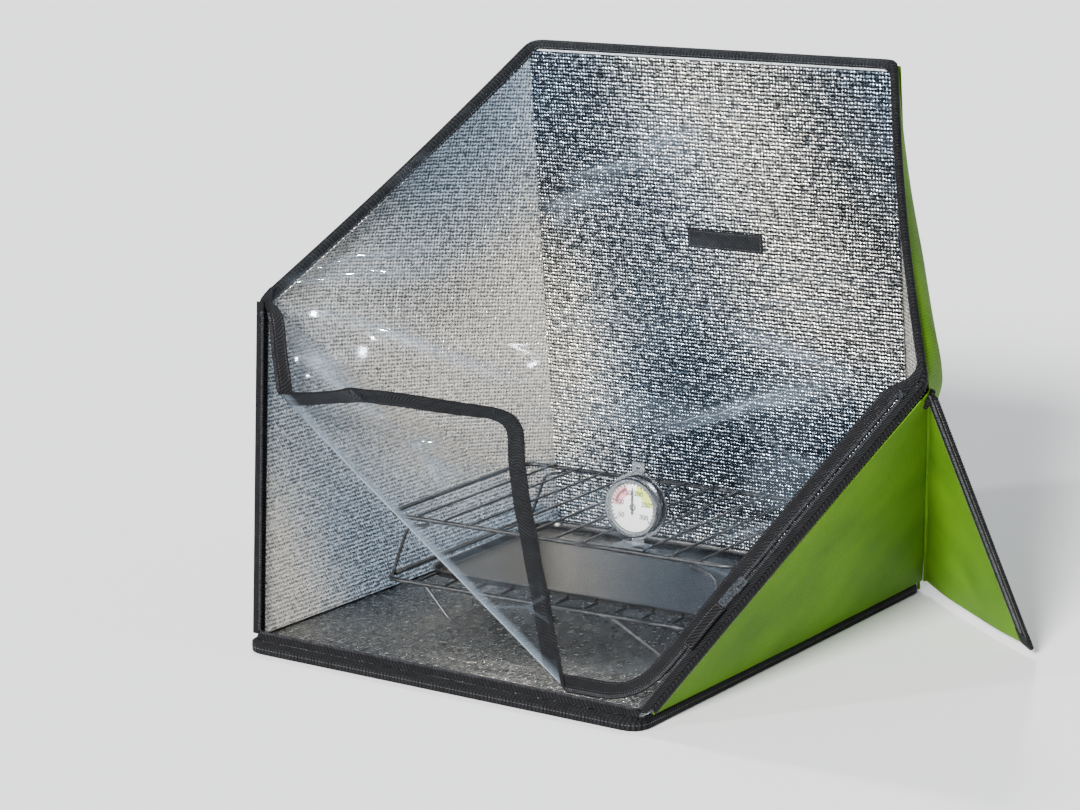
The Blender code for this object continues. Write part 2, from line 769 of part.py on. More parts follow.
def window_flap():
    """The part of the window that hangs on the line between the side corners."""
    top = WINDOW_RISE - FOLD_ROOM
    left = crease_on_left(FILM_OFFSET, CREASE_ROOM)
    foot = FILM_OFFSET
    corners = [
        (-edge_x(top, FILM_OFFSET), top),
        left,
        (crease_point(foot, CREASE_ROOM), foot),
        (edge_x(foot, FILM_OFFSET), foot),
        (edge_x(top, FILM_OFFSET), top),
    ]
    film = flat_piece(
        "window_film_lower",
        [window(x, s) for x, s in corners],
        [0] * len(corners),
        LOWER_OUT,
        -FILM_THICKNESS / 2,
        FILM_THICKNESS / 2,
        "film",
    )
    left_low = crease_on_left(FLAP_OFFSET, CREASE_ROOM)[1]
    tapes = [
        side_tape("flap_zip_left", -1, left_low, TAPE_TOP, FLAP_OFFSET, FLAP_TAPE_WIDTH, True),
        side_tape(
            "flap_zip_right", 1, foot + GAP, TAPE_TOP, FLAP_OFFSET, FLAP_TAPE_WIDTH, True
        ),
        front_tape(
            "flap_zip_front",
            crease_point(FLAP_OFFSET, CREASE_ROOM) + TAPE_BEND_ROOM,
            edge_x(FLAP_OFFSET, FLAP_OFFSET),
            FLAP_OFFSET,
            FLAP_TAPE_WIDTH,
            True,
        ),
    ]
    axis = empty("window_flap_axis", placing(WINDOW_MIDDLE, Vector((0, 1, 0)), Vector((-1, 0, 0))))
    carry(axis, film, *tapes)
    return axis


def folded(x, s):
    """A point of the corner film, given where it lies when the window is closed."""
    turned_x, turned_s = reflect((x, s), CREASE_LEFT, CREASE_FRONT)
    return window(turned_x, turned_s, CORNER_LIFT)


def corner_tape(name, start, end, inside):
    """A tape of the corner film between two closed-window points, with its body towards inside."""
    a, b = folded(*start), folded(*end)
    inwards = folded(*inside) - a
    ring = tape_ring(FLAP_TAPE_WIDTH, True)
    if (b - a).cross(inwards).dot(LOWER_OUT) > 0:
        ring = [(x, -y) for x, y in ring]
    along = (b - a).normalized()
    return profile_bar(name, ring, a, b, inwards - along * inwards.dot(along), "webbing")


def window_corner(flap_axis):
    """The film's lower left corner, turned over onto the window along the crease."""
    foot = FILM_OFFSET
    left = crease_on_left(FILM_OFFSET, -CREASE_ROOM)
    closed = [
        left,
        (-edge_x(foot, FILM_OFFSET), foot),
        (crease_point(foot, -CREASE_ROOM), foot),
    ]
    film = flat_piece(
        "window_film_corner",
        [folded(x, s) for x, s in closed],
        [0] * len(closed),
        LOWER_OUT,
        -FILM_THICKNESS / 2,
        FILM_THICKNESS / 2,
        "film",
    )
    low = FILM_OFFSET + GAP
    side_top = crease_on_left(FLAP_OFFSET + FLAP_TAPE_WIDTH, -CREASE_ROOM)[1]
    side = corner_tape(
        "corner_zip_side",
        (-edge_x(low, FLAP_OFFSET), low),
        (-edge_x(side_top, FLAP_OFFSET), side_top),
        (0, low),
    )
    front = corner_tape(
        "corner_zip_front",
        (-edge_x(FLAP_OFFSET, FLAP_OFFSET), FLAP_OFFSET),
        (
            crease_point(FLAP_OFFSET + FLAP_TAPE_WIDTH, -CREASE_ROOM) - TAPE_BEND_ROOM,
            FLAP_OFFSET,
        ),
        (0, WINDOW_RISE),
    )
    left_end = window(*CREASE_LEFT, CORNER_LIFT / 2)
    front_end = window(*CREASE_FRONT, CORNER_LIFT / 2)
    axis = empty("corner_axis", placing(left_end, LOWER_OUT, front_end - left_end), flap_axis)
    carry(axis, film, side, front)


def upper_film():
    """The sewn-in part of the window, on top of the bindings."""
    low = WINDOW_MIDDLE + UPPER_UP * FOLD_ROOM
    half_low = SIDE_CORNER.x
    half_top = TOP_CORNER.x - EDGE_BINDING_RISE
    corners = [
        low + Vector((-half_low, 0, 0)),
        low + Vector((half_low, 0, 0)),
        WINDOW_TOP + Vector((half_top, 0, 0)),
        WINDOW_TOP + Vector((-half_top, 0, 0)),
    ]
    flat_piece(
        "window_film_upper",
        corners,
        [0] * 4,
        UPPER_OUT,
        -FILM_THICKNESS / 2,
        FILM_THICKNESS / 2,
        "film",
    )


def zip_slider():
    """The slider's two plates and post around the coils, its bridge, the pull through it and the tag."""
    mid_offset = FRAME_TAPE_REACH + COIL_GAP / 2
    centre = window(edge_x(SLIDER_RISE, mid_offset), SLIDER_RISE)
    further = SLIDER_RISE + SLIDER_LENGTH
    up_zip = window(edge_x(further, mid_offset), further) - centre
    place = placing(centre, up_zip, LOWER_OUT)

    # In the slider's own place, X runs up the zip, Y across it and Z outwards.
    top = TAPE_THICKNESS / 2 + COIL_HEIGHT + GAP
    deck = top + SLIDER_PLATE
    bottom = -TAPE_THICKNESS / 2 - GAP
    half = Vector((SLIDER_LENGTH / 2, SLIDER_WIDTH / 2, 0))
    body = box(
        "zip_slider", (-half.x, -half.y, top), (half.x, half.y, deck), "zip_metal"
    )
    under = box(
        "slider_under_plate",
        (-half.x, -half.y, bottom - SLIDER_PLATE),
        (half.x, half.y, bottom),
        "zip_metal",
        collection=HELPERS,
    )
    post = box(
        "slider_post",
        (-half.x / 2, -SLIDER_POST / 2, bottom - WELD_DEPTH),
        (half.x / 2, SLIDER_POST / 2, top + WELD_DEPTH),
        "zip_metal",
        collection=HELPERS,
    )
    half_bridge, half_width = BRIDGE_LENGTH / 2, BRIDGE_WIDTH / 2
    bridge = box(
        "slider_bridge",
        (-half_bridge, -half_width, deck - WELD_DEPTH),
        (half_bridge, half_width, deck + BRIDGE_HEIGHT),
        "zip_metal",
        collection=HELPERS,
    )
    bridge_hole = box(
        "slider_bridge_hole",
        (BRIDGE_WALL - half_bridge, -BRIDGE_WIDTH, deck),
        (half_bridge - BRIDGE_WALL, BRIDGE_WIDTH, deck + BRIDGE_HEIGHT - BRIDGE_WALL),
        "zip_metal",
        collection=HELPERS,
    )
    boolean(bridge, helper(bridge_hole), "DIFFERENCE")
    boolean(body, helper(post), "UNION")
    boolean(body, helper(under), "UNION")
    boolean(body, helper(bridge), "UNION")
    body.matrix_world = place

    # The pull lies down the zip from its crossbar, which is held under the bridge.
    pivot = place @ Matrix.Translation((0, 0, deck + (BRIDGE_HEIGHT - BRIDGE_WALL) / 2))
    window_width, window_length = PULL_WINDOW
    crossbar = PULL_CROSSBAR / 2
    plate = span(crossbar, crossbar - PULL_LENGTH, PULL_WIDTH)
    hole = span(-crossbar, -crossbar - window_length, window_width)
    pull = outline("zip_pull", [plate, hole], PULL_THICKNESS, pivot, "zip_metal")
    start = crossbar - PULL_LENGTH - GAP
    tag = outline(
        "pull_tag", [span(start, start - TAG_LENGTH, TAG_WIDTH)], TAG_THICKNESS, pivot, "webbing"
    )
    slider_axis = empty("slider_line", placing(centre, LOWER_OUT, up_zip))
    carry(slider_axis, body)
    lateral = up_zip.cross(LOWER_OUT)
    swing = empty("pull_axis", placing(pivot.translation, up_zip, lateral), slider_axis)
    carry(swing, pull, tag)


def span(start, end, width):
    """A rectangle's corners from start to end along X, centred across."""
    return [(start, -width / 2), (start, width / 2), (end, width / 2), (end, -width / 2)]


def label_patch():
    x, up = LABEL_MIDDLE
    width, height = LABEL_SIZE
    seat = BACK_FOOT + BACK_UP * up - BACK_OUT * (GAP + LABEL_THICKNESS) + Vector((x, 0, 0))
    patch = box(
        "label_patch",
        (-width / 2, 0, -height / 2),
        (width / 2, LABEL_THICKNESS, height / 2),
        "webbing",
    )
    patch.matrix_world = placing(seat, Vector((1, 0, 0)), BACK_UP)


def rounded_rectangle(width, depth, radius, steps=5):
    points = []
    for turn, (sx, sy) in enumerate(((1, 1), (-1, 1), (-1, -1), (1, -1))):
        for i in range(steps + 1):
            angle = math.pi / 2 * (turn + i / steps)
            x = sx * (width / 2 - radius) + radius * math.cos(angle)
            y = sy * (depth / 2 - radius) + radius * math.sin(angle)
            points.append((x, y))
    return points


def join_wires(frame, wires):
    """Welds wires to a frame, one by one, as one solid."""
    frame = as_mesh(frame)
    for wire in wires:
        boolean(frame, helper(as_mesh(wire)), "UNION")
    return frame


def rack_grid(name, width, height):
    """A wire loop with cross wires from front to back, welded on its top."""
    ring = rounded_rectangle(width, RACK_DEPTH, RACK_CORNER_RADIUS)
    loop = tube(name, [(x, y, height) for x, y in ring], RAIL_RADIUS, "wire", cyclic=True)
    count = int((width - 2 * RACK_CORNER_RADIUS) / CROSS_WIRE_PITCH)
    z = height + RAIL_RADIUS + CROSS_WIRE_RADIUS - WELD_DEPTH
    reach = RACK_DEPTH / 2 + RAIL_RADIUS / 2
    wires = []
    for i in range(count):
        x = (i - (count - 1) / 2) * CROSS_WIRE_PITCH
        wires.append(
            tube(
                f"{name}_wire_{i}",
                [(x, -reach, z), (x, reach, z)],
                CROSS_WIRE_RADIUS,
                "wire",
                resolution=1,
                collection=HELPERS,
            )
        )
    return loop, wires


def v_foot(name, x_side, y_side):
    """A bent wire under the front or rear rail, with its tip on the floor liner."""
    tip_z = FLOOR_TOP + GAP + FOOT_WIRE_RADIUS * 1.3
    rail_z = LOWER_RAIL_HEIGHT - RAIL_RADIUS / 2
    half = LOWER_RACK_WIDTH / 2
    y = y_side * RACK_DEPTH / 2
    points = [
        (x_side * (half - FOOT_OUTER), y, rail_z),
        (x_side * (half - FOOT_TIP), y, tip_z),
        (x_side * (half - FOOT_INNER), y, rail_z),
    ]
    return tube(name, points, FOOT_WIRE_RADIUS, "wire", resolution=1, collection=HELPERS)


def lower_rack(place):
    loop, wires = rack_grid("lower_rack", LOWER_RACK_WIDTH, LOWER_RAIL_HEIGHT)
    for x_side in (-1, 1):
        for y_side in (-1, 1):
            wires.append(v_foot(f"foot_{x_side + 1}_{y_side + 1}", x_side, y_side))
    mount(place, join_wires(loop, wires))


def rack_leg(side, name):
    """A bent wire with two legs, from under the upper rack's rails down to the lower rack's."""
    high = UPPER_RAIL_HEIGHT - RAIL_RADIUS - LEG_WIRE_RADIUS - GAP
    low = LOWER_RAIL_HEIGHT + RAIL_RADIUS + LEG_WIRE_RADIUS + GAP
    inner = side * (UPPER_RACK_WIDTH / 2 - LEG_INNER)
    shoulder = side * (UPPER_RACK_WIDTH / 2 - LEG_SHOULDER)
    base = side * (LOWER_RACK_WIDTH / 2 - LEG_BASE)
    y = RACK_DEPTH / 2
    points = [
        (inner, -y, high),
        (shoulder, -y, high - LEG_SHOULDER_DROP),
        (base, -y, low),
        (base, y, low),
        (shoulder, y, high - LEG_SHOULDER_DROP),
        (inner, y, high),
    ]
    return tube(f"upper_rack_leg_{name}", points, LEG_WIRE_RADIUS, "wire")


def upper_rack(place):
    loop, wires = rack_grid("upper_rack", UPPER_RACK_WIDTH, UPPER_RAIL_HEIGHT)
    mount(place, join_wires(loop, wires), rack_leg(-1, "left"), rack_leg(1, "right"))


def tray(place):
    """A shallow pan on the lower rack, cut hollow from a rounded block."""
    low = LOWER_RAIL_HEIGHT + RAIL_RADIUS + 2 * CROSS_WIRE_RADIUS - WELD_DEPTH + GAP
    ring = rounded_rectangle(TRAY_WIDTH, TRAY_DEPTH, TRAY_CORNER_RADIUS)
    hollow = rounded_rectangle(
        TRAY_WIDTH - 2 * TRAY_WALL, TRAY_DEPTH - 2 * TRAY_WALL, TRAY_CORNER_RADIUS - TRAY_WALL
    )
    middle = Matrix.Translation((0, 0, low + TRAY_HEIGHT / 2))
    pan = as_mesh(outline("baking_tray", [ring], TRAY_HEIGHT, middle, "enamel"))
    raised = middle @ Matrix.Translation((0, 0, TRAY_WALL))
    cutter = as_mesh(outline("tray_hollow", [hollow], TRAY_HEIGHT, raised, "enamel", HELPERS))
    boolean(pan, helper(cutter), "DIFFERENCE")
    mount(place, pan)


def thermometer(place):
    """A round dial thermometer with a strap that hooks at its top and stands on a foot plate."""
    base_z = UPPER_RAIL_HEIGHT + RAIL_RADIUS + 2 * CROSS_WIRE_RADIUS - WELD_DEPTH + GAP
    centre_z = base_z + DIAL_CENTRE_HEIGHT
    centre = Vector((THERMOMETER_OFFSET, -RACK_DEPTH / 2 + THERMOMETER_SETBACK, centre_z))
    seat = empty("thermometer_place", Matrix.Identity(4), place)
    seat.matrix_parent_inverse = Matrix.Identity(4)
    seat.location = centre
    seat.rotation_euler = (math.pi / 2, 0, 0)

    # The dial faces local +Z. The case's back is at zero.
    case = turned(
        "thermometer_case",
        [
            (CASE_RADIUS, CASE_DEPTH),
            (CASE_RADIUS, FLANGE_THICKNESS),
            (FLANGE_RADIUS, FLANGE_THICKNESS),
            (FLANGE_RADIUS, 0),
            (0, 0),
            (0, CASE_WALL),
            (CASE_RADIUS - CASE_WALL, CASE_WALL),
            (CASE_RADIUS - CASE_WALL, CASE_DEPTH),
        ],
        "steel",
    )
    dial_low = CASE_DEPTH - DIAL_THICKNESS - GAP
    dial = turned(
        "thermometer_dial",
        [
            (DIAL_RADIUS, dial_low + DIAL_THICKNESS),
            (DIAL_RADIUS, dial_low),
            (PIN_RADIUS + GAP, dial_low),
            (PIN_RADIUS + GAP, dial_low + DIAL_THICKNESS),
        ],
        "dial_card",
    )
    bezel_low = CASE_DEPTH + GAP - BEZEL_LIP
    bezel_top = bezel_low + BEZEL_THICKNESS
    bezel = turned(
        "thermometer_bezel",
        [
            (BEZEL_RADIUS - BEZEL_LIP, bezel_top),
            (BEZEL_RADIUS, bezel_top - BEZEL_LIP),
            (BEZEL_RADIUS, bezel_low),
            (CASE_RADIUS + GAP, bezel_low),
            (CASE_RADIUS + GAP, CASE_DEPTH + GAP),
            (BEZEL_INNER_RADIUS, CASE_DEPTH + GAP),
            (BEZEL_INNER_RADIUS, bezel_top),
        ],
        "steel",
    )
    lens = cylinder(
        "thermometer_lens",
        BEZEL_INNER_RADIUS - GAP,
        bezel_top - LENS_THICKNESS - GAP,
        bezel_top - GAP,
        "lens",
    )
    pointer_low = CASE_DEPTH + 2 * GAP
    half = POINTER_WIDTH / 2
    blade = [
        (-half, -POINTER_TAIL),
        (half, -POINTER_TAIL),
        (half, POINTER_LENGTH - 3 * POINTER_WIDTH),
        (0, POINTER_LENGTH),
        (-half, POINTER_LENGTH - 3 * POINTER_WIDTH),
    ]
    level = Matrix.Translation((0, 0, pointer_low + POINTER_THICKNESS / 2))
    hand = as_mesh(outline("thermometer_pointer", [blade], POINTER_THICKNESS, level, "pointer"))
    pin = cylinder(
        "pointer_pin_blank",
        PIN_RADIUS,
        CASE_WALL + GAP,
        pointer_low + POINTER_THICKNESS + GAP,
        "pointer",
        16,
        HELPERS,
    )
    boolean(hand, helper(pin), "UNION")
    coil_width, coil_height = COIL_SPRING_SECTION
    coil_low = CASE_WALL + GAP
    coil = turned(
        "bimetal_coil",
        [
            (COIL_SPRING_RADIUS, coil_low + coil_height),
            (COIL_SPRING_RADIUS, coil_low),
            (COIL_SPRING_RADIUS - coil_width, coil_low),
            (COIL_SPRING_RADIUS - coil_width, coil_low + coil_height),
        ],
        "steel",
        32,
    )
    # The strap stands behind the case. Local +Y is up, and the foot reaches forward under the case.
    strap_top = STRAP_TOP
    strap_low = -DIAL_CENTRE_HEIGHT + STRAP_THICKNESS
    ring = [
        (-STRAP_WIDTH / 2, strap_low - WELD_DEPTH),
        (STRAP_WIDTH / 2, strap_low - WELD_DEPTH),
        (STRAP_WIDTH / 2, strap_top),
        (-STRAP_WIDTH / 2, strap_top),
    ]
    hole = [
        (
            HANG_HOLE_RADIUS * math.cos(math.tau * i / 16),
            strap_top - 3 * HANG_HOLE_RADIUS + HANG_HOLE_RADIUS * math.sin(math.tau * i / 16),
        )
        for i in range(16)
    ]
    behind = Matrix.Translation((0, 0, -GAP - STRAP_THICKNESS / 2))
    strap = as_mesh(outline("thermometer_strap", [ring, hole], STRAP_THICKNESS, behind, "steel"))
    foot = box(
        "strap_foot",
        (-FOOT_PLATE_WIDTH / 2, -DIAL_CENTRE_HEIGHT, -GAP - STRAP_THICKNESS),
        (FOOT_PLATE_WIDTH / 2, -DIAL_CENTRE_HEIGHT + STRAP_THICKNESS, FOOT_PLATE_DEPTH - CASE_DEPTH),
        "steel",
        collection=HELPERS,
    )
    boolean(strap, helper(foot), "UNION")
    mount(seat, case, dial, bezel, lens, hand, coil, strap)


def contents():
    wall_x = SEAM_X + SIDE_LEAN * (LOWER_RAIL_HEIGHT - SEAM_Z)
    centre_x = wall_x - RACK_WALL_ROOM - LOWER_RACK_WIDTH / 2
    place = empty(
        "rack_place",
        Matrix.Translation((centre_x, FRONT_Y + RACK_CENTRE_FORWARD, 0))
        @ Matrix.Rotation(RACK_TURN, 4, "Z"),
    )
    lower_rack(place)
    tray(place)
    upper_rack(place)
    thermometer(place)


def build():
    floor_panel()
    back_panel()
    rear_hinge_strip()
    floor_and_top_bindings()
    for side, name in ((-1, "left"), (1, "right")):
        gussets(side, name)
        edge_bindings(side, name)
        crease_welt(side, name)
        wing(side, name)
    upper_film()
    frame_zip()
    window_corner(window_flap())
    zip_slider()
    label_patch()
    contents()


build()
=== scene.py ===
import math

import bmesh
import bpy
from mathutils import Matrix, Vector, noise
from mathutils.geometry import intersect_point_line


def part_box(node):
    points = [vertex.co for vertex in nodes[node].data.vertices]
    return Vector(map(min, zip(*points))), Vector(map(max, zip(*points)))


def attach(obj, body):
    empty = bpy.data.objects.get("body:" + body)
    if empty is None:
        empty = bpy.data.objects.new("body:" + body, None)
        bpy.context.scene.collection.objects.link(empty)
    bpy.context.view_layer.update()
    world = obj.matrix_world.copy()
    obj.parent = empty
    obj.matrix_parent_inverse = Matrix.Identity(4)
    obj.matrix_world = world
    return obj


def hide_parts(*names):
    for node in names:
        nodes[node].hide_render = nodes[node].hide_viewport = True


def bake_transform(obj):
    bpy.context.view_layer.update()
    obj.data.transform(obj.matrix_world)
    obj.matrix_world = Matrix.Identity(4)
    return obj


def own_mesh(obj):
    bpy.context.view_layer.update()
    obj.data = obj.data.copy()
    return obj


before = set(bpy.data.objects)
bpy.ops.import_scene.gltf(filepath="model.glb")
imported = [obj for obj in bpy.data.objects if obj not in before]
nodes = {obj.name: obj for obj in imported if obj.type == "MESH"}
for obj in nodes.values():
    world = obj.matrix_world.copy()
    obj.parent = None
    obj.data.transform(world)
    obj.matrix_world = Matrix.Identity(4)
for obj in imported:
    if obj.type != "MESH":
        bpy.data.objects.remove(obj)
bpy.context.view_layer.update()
print("frame loaded with", len(nodes), "nodes")

mm = 0.001
xAxis = Vector((1, 0, 0))
yAxis = Vector((0, 1, 0))
zAxis = Vector((0, 0, 1))
bothSides = ((-1, "left"), (1, "right"))


# small tools

# the CAD node's vertex that lies farthest along a direction
def farPoint(node, *way):
    direction = Vector(way)
    return max((v.co.copy() for v in nodes[node].data.vertices), key=direction.dot)


# the same corner half way through a thin plate
def midCorner(node, *way):
    point = farPoint(node, *way)
    others = [v.co for v in nodes[node].data.vertices if (v.co - point).length > 1e-5]
    mate = min(others, key=lambda other: (other - point).length)
    return (point + mate) / 2


# the four corners of an upright panel's middle plane, from its lower left one round
def fourCorners(node, y):
    return [midCorner(node, x, y, z) for x, z in ((-1, -8), (1, -8), (1, 8), (-1, 8))]


# the middle of a bar's end face
def endCentre(node, *way):
    far = farPoint(node, *way)
    near = farPoint(node, *(-w for w in way))
    axis = (far - near).normalized()
    reach = far.dot(axis)
    face = [v.co for v in nodes[node].data.vertices if v.co.dot(axis) > reach - 0.0014]
    return sum(face, Vector()) / len(face)


# a direction turned square to a unit vector
def squareTo(along, way):
    return (way - along * way.dot(along)).normalized()


def smooth(t):
    t = min(max(t, 0.0), 1.0)
    return t * t * (3 - 2 * t)


def bump(x, y, middleX, middleY, reachX, reachY):
    return math.exp(-(((x - middleX) / reachX) ** 2) - ((y - middleY) / reachY) ** 2)


# soft wrinkles: noise stretched by a scale in each direction
def wrinkle(point, scaleX, scaleY, seed):
    return noise.noise(Vector((point[0] / scaleX, point[1] / scaleY, seed)))


# a list as it is, or one value for each of a count
def forEach(value, count):
    return value if isinstance(value, list) else [value] * count


# meshes made point by point

weldDistance = 0.00002
sharpAngle = math.radians(35)
markFoot = -0.0002  # how deep a mark's foot lies, below the line it stands on


def newShape():
    return {"verts": [], "faces": [], "uvs": [], "marked": []}


# rows of points, from shares of the way across and along
def rowsOf(lines, columns, place):
    return [[place(j / columns, i / lines) for j in range(columns + 1)] for i in range(lines + 1)]


# a sheet between two skins, from rows of points; its UVs are metres along and across its grain, or its tape
def addSheet(shape, rows, thickness, grain=xAxis, tape=False):
    count, width = len(rows), len(rows[0])
    base = len(shape["verts"])
    normals = []
    for i, row in enumerate(rows):
        line = []
        for j in range(width):
            across = row[min(j + 1, width - 1)] - row[max(j - 1, 0)]
            along = rows[min(i + 1, count - 1)][j] - rows[max(i - 1, 0)][j]
            normal = across.cross(along)
            if normal.length < 1e-12:
                inner = rows[i - 1] if i else rows[i + 1]
                normal = (inner[-1] - inner[0]).cross(along) * (1 if i else -1)
            line.append(normal.normalized() if normal.length > 1e-12 else zAxis)
        normals.append(line)
    middleNormal = normals[count // 2][width // 2]
    first = (grain - middleNormal * grain.dot(middleNormal)).normalized()
    second = middleNormal.cross(first)
    walked = [0.0]
    for before, after in zip(rows, rows[1:]):
        walked.append(walked[-1] + (after[width // 2] - before[width // 2]).length)
    for half in (0.5, -0.5):
        for row, line, far in zip(rows, normals, walked):
            for start, normal in zip(row, line):
                point = start + normal * thickness * half
                shape["verts"].append(point)
                onTape = (far, (start - row[0]).length)
                shape["uvs"].append(onTape if tape else (point.dot(first), point.dot(second)))
    step = count * width
    for i in range(count - 1):
        for j in range(width - 1):
            a = base + i * width + j
            shape["faces"].append((a, a + 1, a + width + 1, a + width))
            shape["faces"].append((a + step, a + width + step, a + width + 1 + step, a + 1 + step))
    rim = [(0, j) for j in range(width - 1)] + [(i, width - 1) for i in range(count - 1)]
    rim += [(count - 1, j) for j in range(width - 1, 0, -1)] + [(i, 0) for i in range(count - 1, 0, -1)]
    for (i, j), (m, n) in zip(rim, rim[1:] + rim[:1]):
        a, b = base + i * width + j, base + m * width + n
        shape["faces"].append((b, a, a + step, b + step))


# the directions across and outwards of a path, square to its tangent
def squared(tangent, out):
    across = tangent.cross(out).normalized()
    return across, across.cross(tangent)


# the skin over rings of vertices, either closed round or with a face at each end
def joinRings(shape, base, count, sides, closed=False):
    for i in range(count if closed else count - 1):
        here, there = base + i * sides, base + ((i + 1) % count) * sides
        for k in range(sides):
            m = (k + 1) % sides
            shape["faces"].append((here + k, here + m, there + m, there + k))
    if not closed:
        shape["faces"].append(tuple(base + k for k in reversed(range(sides))))
        shape["faces"].append(tuple(base + (count - 1) * sides + k for k in range(sides)))


# a bar along a path; its section, one or one for each point, is pairs of distances across and outwards
def addBar(shape, path, outs, section, closed=False, scales=None):
    base = len(shape["verts"])
    count = len(path)
    rings = section if isinstance(section[0], list) else [section] * count
    sides = len(rings[0])
    length = 0.0
    for i, (point, out, ring) in enumerate(zip(path, forEach(outs, count), rings)):
        before = path[i - 1] if i or closed else point
        after = path[(i + 1) % count] if i + 1 < count or closed else point
        across, out = squared((after - before).normalized(), out)
        if i:
            length += (point - path[i - 1]).length
        scale = scales[i] if scales else 1.0
        for a, b in ring:
            shape["verts"].append(point + across * a * scale + out * b * scale)
            shape["uvs"].append((length, a if abs(a) > abs(b) else b))
    joinRings(shape, base, count, sides, closed)


def roundRing(radius, sides=10):
    turns = [2 * math.pi * (k + 0.5) / sides for k in range(sides)]
    return [(radius * math.cos(t), radius * math.sin(t)) for t in turns]


# a rounded rectangle as a section: across from -a to a, outwards from low to high
def bandRing(a, low, high, rounding, steps=3):
    ring = []
    for quarter, (sx, sy) in enumerate(((1, 1), (-1, 1), (-1, -1), (1, -1))):
        y = high - rounding if sy > 0 else low + rounding
        for k in range(steps + 1):
            turn = math.pi / 2 * (quarter + k / steps)
            ring.append((sx * (a - rounding) + rounding * math.cos(turn), y + rounding * math.sin(turn)))
    return ring


def mixedRing(first, second, share):
    return [tuple(p * (1 - share) + q * share for p, q in zip(a, b)) for a, b in zip(first, second)]


# a line along a bar at one place of its section, with the way it faces there
def lineOn(path, outs, a, b, faceAcross=False):
    line, faces = [], []
    count = len(path)
    for i, (out, wide, high) in enumerate(zip(forEach(outs, count), forEach(a, count), forEach(b, count))):
        tangent = (path[min(i + 1, count - 1)] - path[max(i - 1, 0)]).normalized()
        across, out = squared(tangent, out)
        line.append(path[i] + across * wide + out * high)
        faces.append(across * math.copysign(1, wide) if faceAcross else out)
    return line, faces


# a row of small raised marks along a line, such as stitches or zip teeth
def addMarks(shape, line, outs, pitch, length, width, height):
    walked, nextPlace = 0.0, pitch / 2
    for start, end, out in zip(line, line[1:], forEach(outs, len(line))):
        gap = (end - start).length
        while gap > 1e-9 and walked + gap >= nextPlace:
            place = start.lerp(end, (nextPlace - walked) / gap)
            tangent = (end - start).normalized()
            across, up = squared(tangent, out)
            base = len(shape["verts"])
            for share, lift in ((1.0, markFoot), (0.5, height)):
                for sx, sy in ((-1, -1), (1, -1), (1, 1), (-1, 1)):
                    x, y = sx * length / 2 * share, sy * width / 2 * share
                    shape["verts"].append(place + tangent * x + across * y + up * lift)
                    shape["uvs"].append((x, y))
            for face in ((4, 5, 6, 7), (0, 1, 5, 4), (1, 2, 6, 5), (2, 3, 7, 6), (3, 0, 4, 7)):
                shape["marked"].append(len(shape["faces"]))
                shape["faces"].append(tuple(base + k for k in face))
            nextPlace += pitch
        walked += gap


# a body from rings of points, all of the same count
def addLoft(shape, rings):
    base = len(shape["verts"])
    for point in (p for ring in rings for p in ring):
        shape["verts"].append(point)
        shape["uvs"].append((point.x, point.y))
    joinRings(shape, base, len(rings), len(rings[0]))


# the path with each inner corner rounded, then spaced evenly
def roundedPath(points, radius, step, closed=False):
    points = [Vector(p) for p in points]
    made = []
    count = len(points)
    for i, point in enumerate(points):
        if not closed and i in (0, count - 1):
            made.append(point)
            continue
        before, after = points[i - 1], points[(i + 1) % count]
        cut = min(radius, (before - point).length / 2, (after - point).length / 2)
        start = point + (before - point).normalized() * cut
        end = point + (after - point).normalized() * cut
        for t in (k / 6 for k in range(7)):
            made.append(start * (1 - t) ** 2 + point * 2 * t * (1 - t) + end * t * t)
    if closed:
        made.append(made[0])
    lengths = [0.0]
    for a, b in zip(made, made[1:]):
        lengths.append(lengths[-1] + (b - a).length)
    parts = max(2, round(lengths[-1] / step))
    spaced, k = [], 0
    for i in range(parts + (0 if closed else 1)):
        want = lengths[-1] * i / parts
        while k < len(made) - 2 and lengths[k + 1] < want:
            k += 1
        gap = lengths[k + 1] - lengths[k]
        spaced.append(made[k].lerp(made[k + 1], (want - lengths[k]) / gap if gap > 1e-12 else 0))
    return spaced


def straightPath(start, end, step):
    return roundedPath([start, end], 0.0, step)


# makes the object with its finish's material (its slot is not used), its body and the CAD nodes it stands
# for
def makePiece(name, shape, finish, body, replaces=(), thread=None):
    material, slot = finish
    mesh = bpy.data.meshes.new(name)
    mesh.from_pydata(shape["verts"], [], shape["faces"])
    for index in shape["marked"] if thread else ():
        mesh.polygons[index].material_index = 1
    layer = mesh.uv_layers.new(name="UVMap")
    for loop in mesh.loops:
        layer.data[loop.index].uv = shape["uvs"][loop.vertex_index]
    built = bmesh.new()
    built.from_mesh(mesh)
    bmesh.ops.remove_doubles(built, verts=built.verts, dist=weldDistance)
    bmesh.ops.recalc_face_normals(built, faces=built.faces)
    built.to_mesh(mesh)
    built.free()
    mesh.shade_smooth()
    mesh.set_sharp_from_angle(angle=sharpAngle)
    made = bpy.data.objects.new(name, mesh)
    bpy.context.scene.collection.objects.link(made)
    mesh.materials.append(material)
    if thread:
        mesh.materials.append(thread)
    if body:
        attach(made, body)
    if replaces:
        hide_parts(*replaces)
    return made


# shader tools

waveUnit = 0.314  # a wave texture of scale 1 repeats after this length
usedOutput = {
    "TexWave": "Fac", "TexNoise": "Fac", "TexCoord": "Object", "LayerWeight": "Facing", "Attribute": "Fac",
    "SeparateXYZ": "Z",
}


# sRGB hex to the linear colour that shaders take
def hexColour(text):
    parts = [int(text[i : i + 2], 16) / 255 for i in (1, 3, 5)]
    linear = [p / 12.92 if p <= 0.04045 else ((p + 0.055) / 1.055) ** 2.4 for p in parts]
    return (*linear, 1.0)


